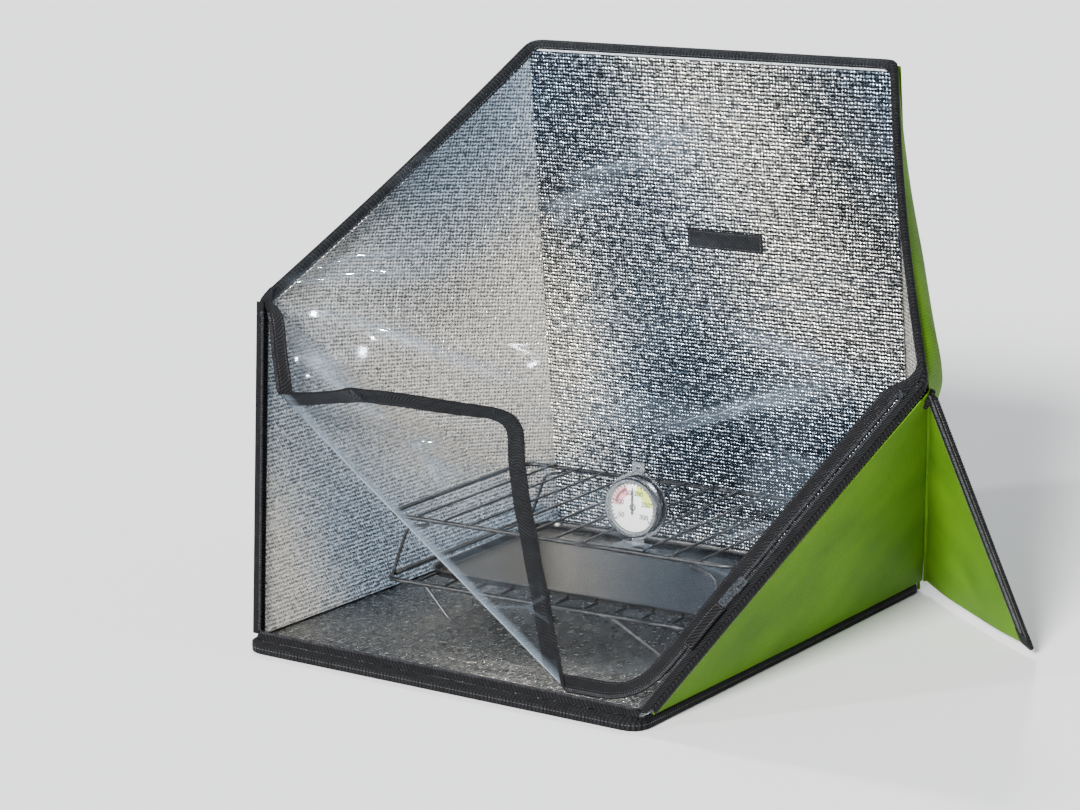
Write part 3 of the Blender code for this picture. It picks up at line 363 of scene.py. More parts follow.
# sets a node's input to a value or to another node's output
def setInput(node, socket, value):
    if isinstance(value, bpy.types.NodeSocket):
        node.id_data.links.new(value, node.inputs[socket])
    else:
        node.inputs[socket].default_value = value


# sets inputs of the material's Principled shader
def feed(made, **sockets):
    for socket, value in sockets.items():
        setInput(made.node_tree.nodes["Principled BSDF"], socket.replace("_", " "), value)


def newMaterial(name, **sockets):
    made = bpy.data.materials.new(name)
    made.use_nodes = True
    feed(made, **sockets)
    return made


# adds a shader node with its settings and inputs, and gives the output that is used here
def addNode(made, kind, inputs=None, **settings):
    node = made.node_tree.nodes.new("ShaderNode" + kind)
    for name, value in settings.items():
        setattr(node, name, value)
    for socket, value in (inputs or {}).items():
        setInput(node, socket, value)
    return node.outputs[usedOutput.get(kind, 0)]


def addMath(made, operation, *values, clamp=False):
    return addNode(made, "Math", dict(enumerate(values)), operation=operation, use_clamp=clamp)


def addNoise(made, place, scale, detail, **more):
    return addNode(made, "TexNoise", {"Vector": place, "Scale": scale, "Detail": detail, **more})


# bands that lie a gap apart
def addWave(made, gap, way, inputs):
    return addNode(made, "TexWave", {**inputs, "Scale": waveUnit / gap}, bands_direction=way)


# a value moved from the span between low and high to the span between start and end
def addRange(made, value, start, end, low=0.0, high=1.0):
    names = ("Value", "To Min", "To Max", "From Min", "From Max")
    return addNode(made, "MapRange", dict(zip(names, (value, start, end, low, high))))


# a colour between stops, each a place and an sRGB colour
def addRamp(made, place, *stops):
    colour = addNode(made, "ValToRGB", {"Fac": place})
    elements = colour.node.color_ramp.elements
    elements[0].position, elements[-1].position = stops[0][0], stops[-1][0]
    for middle, _ in stops[1:-1]:
        elements.new(middle)
    for element, (_, tone) in zip(elements, stops):
        element.color = hexColour(tone)
    return colour


def addRelief(made, strength, distance, height):
    feed(made, Normal=addNode(made, "Bump", {"Strength": strength, "Distance": distance, "Height": height}))


# the alpha of something clear: it hides more where it is seen at a slant
def feedAlpha(made, power, share, haze):
    slant = addMath(made, "POWER", addNode(made, "LayerWeight", {"Blend": 0.5}), power)
    feed(made, Alpha=addMath(made, "MULTIPLY_ADD", slant, share, haze, clamp=True))


# a material whose fine speckle sets its colour, and also its relief and roughness where they are given
def speckled(name, scale, detail, *stops, relief=None, gloss=None, **sockets):
    made = newMaterial(name, **sockets)
    speckle = addNoise(made, addNode(made, "TexCoord"), scale, detail)
    feed(made, Base_Color=addRamp(made, speckle, *stops))
    if relief:
        addRelief(made, *relief, speckle)
    if gloss:
        feed(made, Roughness=addRange(made, speckle, *gloss))
    return made


# materials

fabricLook = {
    # real threads are 0.4 mm apart, drawn at over 2 mm so that they show at this size
    "weft": 2.2 * mm,
    "warp": 2.75 * mm,
    "cloud": 9.0,
    "stops": ((0.3, "#335600"), (0.85, "#567F02")),
    "relief": (0.4, 0.0006),  # strength and depth, here and below
}


# woven polyester, dyed green: matt, with fine crossed threads and a faint shade from handling
def wovenPolyester():
    made = newMaterial("wovenPolyester", Roughness=0.7, IOR=1.46, Specular_IOR_Level=0.15)
    uv = addNode(made, "UVMap")
    fine = {"Vector": uv, "Distortion": 0.7, "Detail": 1.0}
    threads = [addWave(made, fabricLook[kind], way, fine) for kind, way in (("weft", "Y"), ("warp", "X"))]
    weave = addMath(made, "MULTIPLY", *threads)
    shade = addMath(made, "MULTIPLY_ADD", weave, 0.35, addNoise(made, uv, fabricLook["cloud"], 4.0))
    feed(made, Base_Color=addRamp(made, shade, *fabricLook["stops"]))
    addRelief(made, *fabricLook["relief"], weave)
    return made


foilLook = {
    # the real scrim's ribs are 2.8 mm apart, drawn a little coarser so that they show at this size
    "rib": 3.5 * mm,
    "cord": 3.1 * mm,
    "cell": 2.2 * mm,
    "crinkle": 150.0,
    "gloss": (0.16, 0.34),
    # how large the broad zones of painted reflection are, and how far they shift the tone
    "paintedReflectionZone": 4.2,
    "paintedReflectionShift": (-0.21, 0.06, 0.35, 0.65),
    "hue": 3.4,
    "tint": ((0.38, "#C3D2E2"), (0.6, "#F4ECE0")),
    "relief": (0.8, 0.0011),
    "stops": (0.32, 0.7, 0.98),
    # the flat foil's darker tones paint darker reflection on the floor and back panel
    "flat": ("#121518", "#6C7379", "#FFFFFF"),
    "padded": ("#555B60", "#D4D8DB", "#FFFFFF"),
}


# aluminium foil laminated on a woven scrim: the scrim's ribs press through, and each crinkled cell between
# them has a painted glint from near black to white, over broad zones of painted lighter and darker
# reflection
def foilOnScrim(name, metallic, tones):
    made = newMaterial(name, Metallic=metallic)
    uv = addNode(made, "UVMap")
    wavy = {"Vector": uv, "Distortion": 2.4, "Detail": 3.0, "Detail Scale": 2.0}
    ribs = addWave(made, foilLook["rib"], "Y", wavy)
    cords = addWave(made, foilLook["cord"], "X", wavy)
    # each scrim cell's colour is a painted glint; the cells are also a real crinkle in the relief
    cells = addNode(made, "TexVoronoi", {"Vector": uv, "Scale": 1 / foilLook["cell"]})
    crinkle = addNoise(made, uv, foilLook["crinkle"], 2.0)
    grid = addMath(made, "MULTIPLY_ADD", cords, 0.6, ribs)
    woven = addMath(made, "MULTIPLY_ADD", cells, 0.65, addMath(made, "MULTIPLY", grid, crinkle))
    # broad noise zones of painted lighter and darker reflection
    paintedReflectionZone = addRange(made, addNoise(made, uv, foilLook["paintedReflectionZone"], 0.0), *foilLook["paintedReflectionShift"])
    colour = addRamp(made, addMath(made, "ADD", woven, paintedReflectionZone), *zip(foilLook["stops"], tones))
    tint = addRamp(made, addNoise(made, uv, foilLook["hue"], 0.0), *foilLook["tint"])
    tinted = addNode(made, "VectorMath", {0: colour, 1: tint}, operation="MULTIPLY")
    feed(made, Base_Color=tinted, Roughness=addRange(made, crinkle, *foilLook["gloss"]))
    addRelief(made, *foilLook["relief"], woven)
    return made


webbingLook = {
    "rib": 1.8 * mm,  # real ribs are 0.8 mm apart
    "rub": 120.0,
    "stops": ((0.1, "#030304"), (0.6, "#19191B")),
    "relief": (0.6, 0.0006),
}


# woven nylon webbing: dull black, ribbed across its length, rubbed to a faint grey on the ribs
def wovenWebbing():
    made = newMaterial("wovenWebbing", Roughness=0.75, IOR=1.5, Specular_IOR_Level=0.12)
    uv = addNode(made, "UVMap")
    ribs = addWave(made, webbingLook["rib"], "DIAGONAL", {"Vector": uv, "Distortion": 0.8, "Detail": 1.0})
    shade = addMath(made, "MULTIPLY", ribs, addNoise(made, uv, webbingLook["rub"], 3.0))
    feed(made, Base_Color=addRamp(made, shade, *webbingLook["stops"]))
    addRelief(made, *webbingLook["relief"], ribs)
    return made


filmLook = {
    "tint": "#C4D3E0",
    "pulled": {"Rotation": (0, 0, math.radians(-32)), "Scale": (4, 24, 1)},
    "netted": {"Rotation": (0, 0, math.radians(-40)), "Scale": (3.5, 9, 1)},
    "cloud": 5.0,
    "haze": (0.012, 0.1, 0.27, 0.42),
    "line": (0.14, 0.0, 0.0, 0.012),
    "lineShown": (0.0, 1.0, 0.48, 0.6),
    "crease": 0.45,
    "relief": (0.3, 0.002),
}


# clear PVC film: see-through, a cool reflection growing at a slant, streaks of haze and painted glint,
# crease lines
def clearFilm():
    made = newMaterial("clearFilm", Roughness=0.08, Metallic=0.85, Base_Color=hexColour(filmLook["tint"]))
    uv = addNode(made, "UVMap")
    ways = [{"Vector": uv, **filmLook[kind]} for kind in ("pulled", "netted")]
    pulled, netted = (addNode(made, "Mapping", way) for way in ways)
    streaks = addNoise(made, pulled, 1.0, 3.0, Distortion=0.8)
    clouds = addNoise(made, uv, filmLook["cloud"], 2.0)
    # the streaks raise the alpha: partly real haze, partly painted glint that stays put under any light
    haze = addRange(made, addMath(made, "MULTIPLY", streaks, clouds), *filmLook["haze"])
    # a net of thin lines: partly real crinkle, partly painted glint
    edges = addNode(made, "TexVoronoi", {"Vector": netted, "Scale": 1.0}, feature="DISTANCE_TO_EDGE")
    thin, shown = addRange(made, edges, *filmLook["line"]), addRange(made, clouds, *filmLook["lineShown"])
    lines = addMath(made, "MULTIPLY_ADD", thin, shown, haze)
    # whitening at the folds, and a painted highlight band along each pulled fold
    creaseWhiteAndHighlight = addNode(made, "Attribute", attribute_name="creaseWhiteAndHighlight")
    feedAlpha(made, 4.0, 0.5, addMath(made, "MULTIPLY_ADD", creaseWhiteAndHighlight, filmLook["crease"], lines))
    addRelief(made, *filmLook["relief"], streaks)
    return made


# pressed glass: clear, with a bright edge where it is seen at a slant
def pressedGlass():
    tint = hexColour("#EAF2F4")
    made = newMaterial("pressedGlass", Roughness=0.04, IOR=1.5, Coat_Weight=0.2, Base_Color=tint)
    smear = addNoise(made, addNode(made, "TexCoord"), 90.0, 2.0)
    feedAlpha(made, 3.0, 0.6, addRange(made, smear, 0.01, 0.06))
    return made


# polyethylene foam board: pale grey, closed cells
def foamBoard():
    made = newMaterial("foamBoard", Roughness=0.8, IOR=1.5)
    cells = addNode(made, "TexVoronoi", {"Vector": addNode(made, "TexCoord"), "Scale": 400.0})
    feed(made, Base_Color=addRamp(made, cells, (0.1, "#8F9396"), (0.7, "#C2C5C8")))
    return made


fabric = (wovenPolyester(), "green_fabric")
foil = (foilOnScrim("foilOnScrim", 1.0, foilLook["flat"]), "foil")
# the same foil on the gussets' padding, crumpled by folding, so it scatters more of the light
# its tones, lighter than the flat foil's, paint brighter reflection on the gussets
paddedFoil = (foilOnScrim("foilOnPadding", 0.65, foilLook["padded"]), "foil")
webbing = (wovenWebbing(), "webbing")
film = (clearFilm(), "film")
glass = pressedGlass()
foam = foamBoard()
# spun polyester thread: dark grey fibres, a little glossier than the tape under them
thread = speckled("spunThread", 420.0, 2.0, (0.35, "#1C1C1E"), (0.65, "#4A4A4D"), Roughness=0.5, IOR=1.53)
# moulded zip coil: a little darker, with a smoother skin, so that its teeth catch the light
coil = speckled("mouldedCoil", 420.0, 2.0, (0.35, "#141416"), (0.65, "#3A3A3E"), Roughness=0.35, IOR=1.53)
# steel wire dipped in black coating: glossy, with fine runs and grey rub marks
coating = {"relief": (0.2, 0.0004), "Roughness": 0.34, "IOR": 1.5}
wire = (speckled("coatedWire", 260.0, 3.0, (0.55, "#0E0F11"), (0.8, "#4A4E53"), **coating), "wire")
# black enamel fired on sheet steel: deep gloss with fine pits
fired = {"relief": (0.12, 0.0003), "Roughness": 0.24, "IOR": 1.5, "Specular_IOR_Level": 0.3}
enamel = (speckled("firedEnamel", 380.0, 2.0, (0.45, "#0B0B0C"), (0.8, "#1E1F21"), **fired), "enamel")
# die-cast zinc, tumbled: grey and bright, with the fine grain that tumbling leaves
tumbled = {"gloss": (0.182, 0.39), "Metallic": 1.0}
zinc = speckled("tumbledZinc", 700.0, 2.0, (0.2, "#45484C"), (0.8, "#8E9296"), **tumbled)
# sheet steel, pressed: brighter, with the sheet's fine rolled grain
pressed = {"gloss": (0.14, 0.3), "Metallic": 1.0}
steel = speckled("pressedSteel", 700.0, 2.0, (0.2, "#54585C"), (0.8, "#A4A8AC"), **pressed)
print("materials made")


# floor and back panels

sheetStep = 0.012


# rows of points between four corners, moved along the normal by a lift of the place in the sheet
def gridRows(a, b, c, d, lift, stepX=sheetStep, stepY=sheetStep, least=2):
    wide = max((b - a).length, (c - d).length)
    tall = max((d - a).length, (c - b).length)
    normal = ((b - a) + (c - d)).cross((d - a) + (c - b)).normalized()

    def place(u, v):
        return a.lerp(d, v).lerp(b.lerp(c, v), u) + normal * lift(u, v)

    return rowsOf(max(least, round(tall / stepY)), max(least, round(wide / stepX)), place)


# a triangle as rows that start at its tip
def triangleRows(tip, left, right, lift):
    return gridRows(tip, tip, right, left, lambda u, v: -lift(u, v), least=3)


def noLift(u, v):
    return 0.0


def edgeFade(u, v):
    return min(1.0, 16 * u * (1 - u)) * min(1.0, 16 * v * (1 - v))


floorLook = {"wrinkle": 0.0012, "liner": 0.0016, "cover": 0.001, "coverMiddle": 0.0006, "coverStep": 0.03}


def floorPanel():
    low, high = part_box("floor_liner")

    def linerLift(u, v):
        return edgeFade(u, v) * floorLook["wrinkle"] * wrinkle((u, v), 0.16, 0.2, 3.1)

    for layer, finish, z, lift, step in (
        ("liner", foil, (low.z + high.z) / 2, linerLift, sheetStep),
        ("cover", fabric, floorLook["coverMiddle"], noLift, floorLook["coverStep"]),
    ):
        plan = ((-high.x, low.y), (high.x, low.y), (high.x, high.y), (-high.x, high.y))
        shape = newShape()
        addSheet(shape, gridRows(*(Vector((x, y, z)) for x, y in plan), lift, step, step), floorLook[layer])
        made = makePiece(f"floor{layer.capitalize()}", shape, finish, "case", [f"floor_{layer}"])


backFoot = farPoint("back_liner", 0, -0.2, -1)
backTop = farPoint("back_liner", 0, -1, 1)
backUp = Vector((0, backTop.y - backFoot.y, backTop.z - backFoot.z)).normalized()

backLook = {
    "wrinkle": 0.0012,
    # thickness, then how far the layer reaches past its solid: sideways at foot and top, and upwards
    "liner": (0.0016, 0.0012, 0.0055, -0.0015),
    "cover": (0.001, 0.0025, 0.0075, 0.0015),
    "hinge": 0.0009,
}


def backPanel():
    def backLift(u, v):
        return edgeFade(u, v) * backLook["wrinkle"] * wrinkle((u, v), 0.22, 0.18, 7.7)

    for layer, finish in (("liner", foil), ("cover", fabric)):
        thickness, footReach, topReach, topRise = backLook[layer]
        corners = fourCorners(f"back_{layer}", 0)
        for k, corner in enumerate(corners):
            corner.x += math.copysign(topReach if k > 1 else footReach, corner.x)
            corner.z += topRise if k > 1 else 0
        shape = newShape()
        addSheet(shape, gridRows(*corners, backLift), thickness)
        made = makePiece(f"back{layer.capitalize()}", shape, finish, "case", [f"back_{layer}"])
    corners = fourCorners("rear_hinge_strip", -0.1)
    shape = newShape()
    addSheet(shape, gridRows(*corners, noLift, 0.02, 0.005), backLook["hinge"])
    strip = makePiece("rearHingeStrip", shape, fabric, "case", ["rear_hinge_strip"])


floorPanel()
backPanel()
print("floor and back panels made")


# side gussets

gussetLook = {
    "lowerBulge": 0.002,
    "upperBulge": 0.015,
    "wrinkle": 0.0015,
    "edgeBow": 0.005,
    "cover": 0.0009,
    "liner": 0.0017,
    "ontoWelt": (0.8, 0.3),  # how far the cover's crease is drawn to the welt, at its top and its foot
    "linerInwards": 0.003,
    # how the far corner is sewn in: outwards, backwards and upwards
    "upper_cover": (-0.0024, 0.0055, 0.003),
    "upper_liner": (-0.004, 0.003, 0),
}


# how far the film pulls the free edge inwards, from the side corner to the top
def edgeBow(t):
    return gussetLook["edgeBow"] * math.sin(math.pi * min(max(t, 0.0), 1.0))


# the line of the seam between a side's two triangles
def weltLine(side, name):
    return endCentre(f"crease_welt_{name}", -side, 1, -1), endCentre(f"crease_welt_{name}", side, -1, 1)


def toWelt(point, side, name, share):
    onWelt, _ = intersect_point_line(point, *weltLine(side, name))
    return point.lerp(onWelt, share)


def gusset(side, name):
    creases = {}
    for layer in ("cover", "liner"):
        lower, upper = f"lower_gusset_{layer}_{name}", f"upper_gusset_{layer}_{name}"
        tipWay = (side * 4, -0.3, 0.5)
        ends = [
            (midCorner(lower, *tipWay) + midCorner(upper, *tipWay)) / 2,
            (midCorner(lower, 0, 1, -0.9) + midCorner(upper, 0, 0.6, -1)) / 2,
        ]
        if layer == "cover":
            ends = [toWelt(end, side, name, share) for end, share in zip(ends, gussetLook["ontoWelt"])]
        creases[layer] = ends
    for label, frontWay, seed in (("lower", (0, -1, -0.4), 2.0), ("upper", (0, 0.3, 1), 5.0)):
        for layer, finish in (("cover", fabric), ("liner", paddedFoil)):
            node = f"{label}_gusset_{layer}_{name}"
            tip, rear = creases[layer]
            if layer == "liner":
                rear = rear - xAxis * side * gussetLook["linerInwards"]
            x, y, z = gussetLook.get(f"{label}_{layer}", (0, 0, 0))
            far = midCorner(node, *frontWay) + Vector((side * x, y, z))
            normal = (rear - tip).cross(far - tip).normalized()
            outward = 1 if normal.x * side > 0 else -1

            def lift(u, v):
                soft = gussetLook["wrinkle"] * wrinkle((u * v, v), 0.2, 0.5, side + seed)
                if label == "lower":
                    full = 4 * u * (1 - u) * v * math.sin(math.pi * v * 0.75 + 0.35)
                    return outward * min(full, 1.0) * (gussetLook["lowerBulge"] + soft)
                full = smooth(u / 0.5) * (1 - u**7) * smooth(v / 0.22) * (1 - v**3)
                return outward * (full * (gussetLook["upperBulge"] + soft) - edgeBow(v) * u**5)

            shape = newShape()
            addSheet(shape, triangleRows(tip, rear, far, lift), gussetLook[layer], grain=yAxis)
            pieceName = f"{label}Gusset{layer.capitalize()}{name.capitalize()}"
            made = makePiece(pieceName, shape, finish, "case", [node])
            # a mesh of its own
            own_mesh(made)


for side, name in bothSides:
    gusset(side, name)
print("gussets made")


# bindings

bindingLook = {
    # half width, inner and outer face, and rounding of each section
    "edge": (0.0034, -0.0056, 0.0054, 0.0030),
    "top": (0.0061, -0.0036, 0.0038, 0.0028),
    "floorSide": (0.0046, -0.0025, 0.0025, 0.0019),
    "floorFront": (0.0052, -0.004, 0.004, 0.0024),
    "edgeRounding": 0.009,
    "floorRounding": 0.016,
    "topReach": 0.0035,
    "cornerReach": 0.002,
    "stitchIn": 0.0022,
    "stitch": (3 * mm, 0.002, 0.0007, 0.0003),  # pitch, length, width and height
}


# the band that wraps the whole free edge: up both lower edges and upper edges, and over the top
def edgeBinding():
    feet, corners, overs = [], [], []
    for side, name in bothSides:
        lowerNode, upperNode = f"lower_edge_binding_{name}", f"upper_edge_binding_{name}"
        foot = endCentre(lowerNode, -side, -1, -1)
        lowerHigh = endCentre(lowerNode, side, 1, 1)
        upperLow, upperHigh = endCentre(upperNode, side, -1, -1), endCentre(upperNode, -side, 1, 1)
        rear = midCorner(f"lower_gusset_cover_{name}", 0, 1, -0.9)
        lowerAlong, upperAlong = (lowerHigh - foot).normalized(), (upperLow - upperHigh).normalized()
        feet.append(foot)
        corners.append((lowerHigh + upperLow) / 2 + lowerAlong * bindingLook["cornerReach"])
        overs.append((squareTo(lowerAlong, lowerHigh - rear), squareTo(upperAlong, upperLow - rear)))
    topLow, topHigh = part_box("top_binding")
    middle = (topLow + topHigh) / 2
    half = topHigh.x + bindingLook["topReach"]
    over = [(x, middle.y, middle.z) for x in (-half, half)]
    path = [feet[0], corners[0], *over, corners[1], feet[1]]
    points = roundedPath(path, bindingLook["edgeRounding"], 0.004)
    edge, top = bandRing(*bindingLook["edge"]), bandRing(*bindingLook["top"])
    outs, rings = [], []
    for point in points:
        k = 0 if point.x < 0 else 1
        above = point.z - corners[k].z
        onTop = smooth((half + 0.007 - abs(point.x)) / 0.014)
        out = overs[k][0].lerp(overs[k][1], smooth((above + 0.008) / 0.016)).lerp(backUp, onTop)
        outs.append(out.normalized())
        rings.append(mixedRing(edge, top, onTop))
        point.x -= math.copysign(edgeBow(above / (middle.z - corners[k].z)), point.x)
    shape = newShape()
    addBar(shape, points, outs, rings)
    for sign in (-1, 1):
        wide = [sign * max(abs(a) for a, b in ring) for ring in rings]
        high = [min(b for a, b in ring) + bindingLook["stitchIn"] for ring in rings]
        addMarks(shape, *lineOn(points, outs, wide, high, faceAcross=True), *bindingLook["stitch"])
    replaced = [f"{part}_edge_binding_{name}" for part in ("lower", "upper") for _, name in bothSides]
    replaced.insert(0, "top_binding")
    makePiece("edgeBinding", shape, webbing, "case", replaced, thread=thread)


def floorBinding():
    sideLow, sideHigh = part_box("floor_binding_right")
    frontLow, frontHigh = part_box("front_binding")
    x = (sideLow.x + sideHigh.x) / 2
    y = (frontLow.y + frontHigh.y) / 2
    z = frontHigh.z / 2 + 0.0001
    rounding = bindingLook["floorRounding"]
    points = roundedPath([(-x, sideHigh.y, z), (-x, y, z), (x, y, z), (x, sideHigh.y, z)], rounding, 0.005)
    atSide, atFront = bandRing(*bindingLook["floorSide"]), bandRing(*bindingLook["floorFront"])
    rings, outs = [], []
    for point in points:
        share = smooth((rounding - (point.y - y)) / rounding)
        rings.append(mixedRing(atSide, atFront, share))
        outs.append(Vector((math.copysign(1, point.x) * (1 - share), -share, 0)).normalized())
    shape = newShape()
    addBar(shape, points, outs, rings)
    high = [max(b for a, b in ring) for ring in rings]
    addMarks(shape, *lineOn(points, outs, 0.0, high), *bindingLook["stitch"])
    replaced = ["front_binding", "floor_binding_left", "floor_binding_right"]
    makePiece("floorBinding", shape, webbing, "case", replaced, thread=thread)


edgeBinding()
floorBinding()
print("bindings made")


# crease welts, corner tabs and wings

weltLook = {"cord": 0.0016, "apart": 0.0014, "out": (0.9, 0.2, -0.2)}
tabLook = {
    "band": (0.0062, -0.0036, 0.0022, 0.0021),
    "shortened": 0.3,
    "stitchHigh": 0.0022,
    "stitch": (2.6 * mm, 0.0017, 0.0007, 0.0003),
}


def creaseWelt(side, name):
    low, high = weltLine(side, name)
    x, y, z = weltLook["out"]
    along = (high - low).normalized()
    outward = squareTo(along, Vector((side * x, y, z)))
    across = along.cross(outward)
    shape = newShape()
    for shift in (-weltLook["apart"], weltLook["apart"]):
        path = straightPath(low + across * shift, high + across * shift, 0.01)
        addBar(shape, path, outward, roundRing(weltLook["cord"], 8))
    makePiece(f"creaseWelt{name.capitalize()}", shape, fabric, "case", [f"crease_welt_{name}"])
    tab = f"corner_tab_{name}"
    tabLow, tabHigh = endCentre(tab, -side, 1, -1), endCentre(tab, side, -1, 1)
    path = straightPath(tabLow, tabHigh.lerp(tabLow, tabLook["shortened"]), 0.002)
    scales = [1 + 0.05 * math.sin(i * 1.3) for i in range(len(path))]
    shape = newShape()
    addBar(shape, path, outward, bandRing(*tabLook["band"]), scales=scales)
    addMarks(shape, *lineOn(path, outward, 0.0, tabLook["stitchHigh"]), *tabLook["stitch"])
    makePiece(f"cornerTab{name.capitalize()}", shape, webbing, "case", [tab], thread=thread)


wingLook = {
    "panel": 0.0012,
    "bulge": 0.014,
    "wrinkle": 0.001,
    "zipMiddle": 0.009,
    "tapes": (0.0046, 0.0134),
    "tape": (0.0043, -0.0016, 0.0016, 0.0013),
    "coil": 0.0013,
    "teethHigh": 0.0012,
    "teeth": (1.8 * mm, 0.0012, 0.0034, 0.0008),
    "stitchRows": (-0.0078, -0.0022, 0.0022, 0.0078),
    "stitchHigh": 0.0016,
    "stitch": (2.8 * mm, 0.0019, 0.0008, 0.0004),
    "end": (0.0092, -0.0022, 0.0022, 0.0019),
}


def wing(side, name):
    panel, zipNode = f"wing_panel_{name}", f"wing_zip_{name}"
    heel = midCorner(panel, -side, 0.8, -0.6)
    normal = (heel - midCorner(panel, 0, -0.7, 1)).cross(midCorner(panel, side, 0.1, -1) - heel).normalized()
    top, foot = midCorner(zipNode, 0, -0.7, 1), midCorner(zipNode, side, 0.2, -0.8)
    along = (foot - top).normalized()
    inwards = squareTo(along, heel - foot)
    middle = inwards * wingLook["zipMiddle"]
    heel = toWelt(heel, side, name, 0.6)
    head, tip = top + middle + along * 0.008, foot + middle - along * 0.006

    def lift(u, v):
        soft = wingLook["wrinkle"] * wrinkle((u, v), 0.3, 0.12, 4.0 + side)
        return wingLook["bulge"] * u * (1 - u) * v + soft * v

    shape = newShape()
    addSheet(shape, triangleRows(head, heel, tip, lift), wingLook["panel"], grain=(tip - heel).normalized())
    made = makePiece(f"wingPanel{name.capitalize()}", shape, fabric, f"{name}_wing", [panel])
    start, end = top + along * 0.003 - inwards * 0.004, foot - along * 0.006
    shape = newShape()
    for shift in wingLook["tapes"]:
        path = straightPath(start + inwards * shift, end + inwards * shift, 0.008)
        addBar(shape, path, normal, bandRing(*wingLook["tape"]))
    line = straightPath(start + middle, end + middle, 0.006)
    addBar(shape, line, normal, roundRing(wingLook["coil"], 8))
    for face in (-normal, normal):
        addMarks(shape, *lineOn(line, face, 0.0, wingLook["teethHigh"]), *wingLook["teeth"])
        for shift in wingLook["stitchRows"]:
            addMarks(shape, *lineOn(line, face, shift, wingLook["stitchHigh"]), *wingLook["stitch"])
    path = [end + middle + along * (0.0055 * k - 0.016) for k in range(4)]
    addBar(shape, path, normal, bandRing(*wingLook["end"]), scales=[0.97, 1, 1, 0.9])
    makePiece(f"wingZip{name.capitalize()}", shape, webbing, f"{name}_wing", [zipNode], thread=thread)


for side, name in bothSides:
    creaseWelt(side, name)
    wing(side, name)
print("welts, tabs and wings made")


# window

windowFoot = Vector((0, -0.2381, 0.0112))
windowFold = Vector((0, -0.05111, 0.262))
windowTop = Vector((0, 0.1743, 0.4903))
lowerUp = (windowFold - windowFoot).normalized()
lowerOut = Vector((0, -lowerUp.z, lowerUp.y))
upperUp = (windowTop - windowFold).normalized()
upperOut = Vector((0, -upperUp.z, upperUp.y))
rise = (windowFold - windowFoot).length
upperRise = (windowTop - windowFold).length
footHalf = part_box("frame_zip_front")[1].x
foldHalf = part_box("window_film_upper")[1].x
topHalf = 0.186
growth = (foldHalf - footHalf) / rise
slant = math.hypot(1, growth)

windowLook = {
    "film": 0.0006,
    "filmOffset": 0.0111,
    "tapeWidth": 0.015,
    "tapeThickness": 0.0009,
    "flapOffset": 0.0081,
    "cornerRadius": 0.04,
    "creaseLeft": 0.244,
    "creaseFront": 0.140,
    "cornerLift": 0.0028,
    "cornerLines": 0.006,
    "droop": Vector((0.010, -0.014, 0)),
    "pull": 0.0035,
    "edgeHold": 0.06,  # how far in from its edge the film's sag comes to its full depth
    "topHold": 0.05,
    "whitened": 0.0016,
    "creaseLine": (0.0005, 5),  # radius and sides
    "partEnd": 0.01,
    "lineStep": 0.0005,
    "tapeStitch": (2.6 * mm, 0.0017, 0.0006, 0.0003),  # pitch, length, width and height, as for the teeth
    "teeth": (1.7 * mm, 0.0011, 0.0026, 0.0006),
}

# the slack film's dents: depth, then the middle and the reach of each, across and up the slope
filmDents = (
    (0.034, -0.05, 0.272, 0.13, 0.075), (0.020, -0.27, 0.235, 0.07, 0.07),
    (0.006, 0.03, 0.10, 0.16, 0.08), (0.014, 0.02, 0.42, 0.16, 0.10),
)

# sharp little folds in the film that catch the light: two ends, height and half width
filmRidges = (
    (-0.311, 0.338, -0.163, 0.372, 0.0030, 0.0070), (-0.292, 0.357, -0.183, 0.393, 0.0026, 0.0070),
    (-0.270, 0.316, -0.056, 0.284, 0.0034, 0.0060), (-0.088, 0.451, -0.031, 0.482, 0.0036, 0.0080),
    (-0.078, 0.487, -0.011, 0.508, 0.0030, 0.0060), (-0.278, 0.272, -0.172, 0.228, 0.0026, 0.0050),
    (-0.065, 0.452, -0.070, 0.437, 0.0030, 0.0045),
    (-0.020, 0.520, 0.035, 0.548, 0.0016, 0.005), (-0.130, 0.198, -0.092, 0.205, 0.0028, 0.0045),
    (-0.115, 0.216, -0.100, 0.188, 0.0026, 0.004), (-0.100, 0.188, -0.060, 0.178, 0.0030, 0.004),
    (-0.090, 0.185, -0.070, 0.166, 0.0024, 0.004), (-0.290, 0.290, -0.150, 0.215, 0.0018, 0.005),
    (0.250, 0.300, 0.120, 0.245, 0.0018, 0.006), (0.270, 0.312, 0.150, 0.345, 0.0016, 0.006),
)


# the window's half width at a height up the slope, less an offset from its side edge
def edgeX(s, offset=0.0):
    if s <= rise:
        return footHalf + growth * s - offset * slant
    t = (s - rise) / upperRise
    return foldHalf + (topHalf - foldHalf) * t - edgeBow(t) - offset


# the sum of the sharp folds at a place: their heights, or how whitened they are
def ridges(x, s, narrowing=1.0, asHeight=True):
    total = 0.0
    for x1, s1, x2, s2, height, width in filmRidges:
        t = ((x - x1) * (x2 - x1) + (s - s1) * (s2 - s1)) / ((x2 - x1) ** 2 + (s2 - s1) ** 2)
        t = min(max(t, 0.0), 1.0)
        gap = math.hypot(x - x1 - t * (x2 - x1), s - s1 - t * (s2 - s1)) * narrowing
        if gap < 3 * width:
            share = math.exp(-((gap / width) ** 2)) * math.sin(math.pi * (0.12 + 0.76 * t))
            total += share * (height if asHeight else 1.0)
    return total


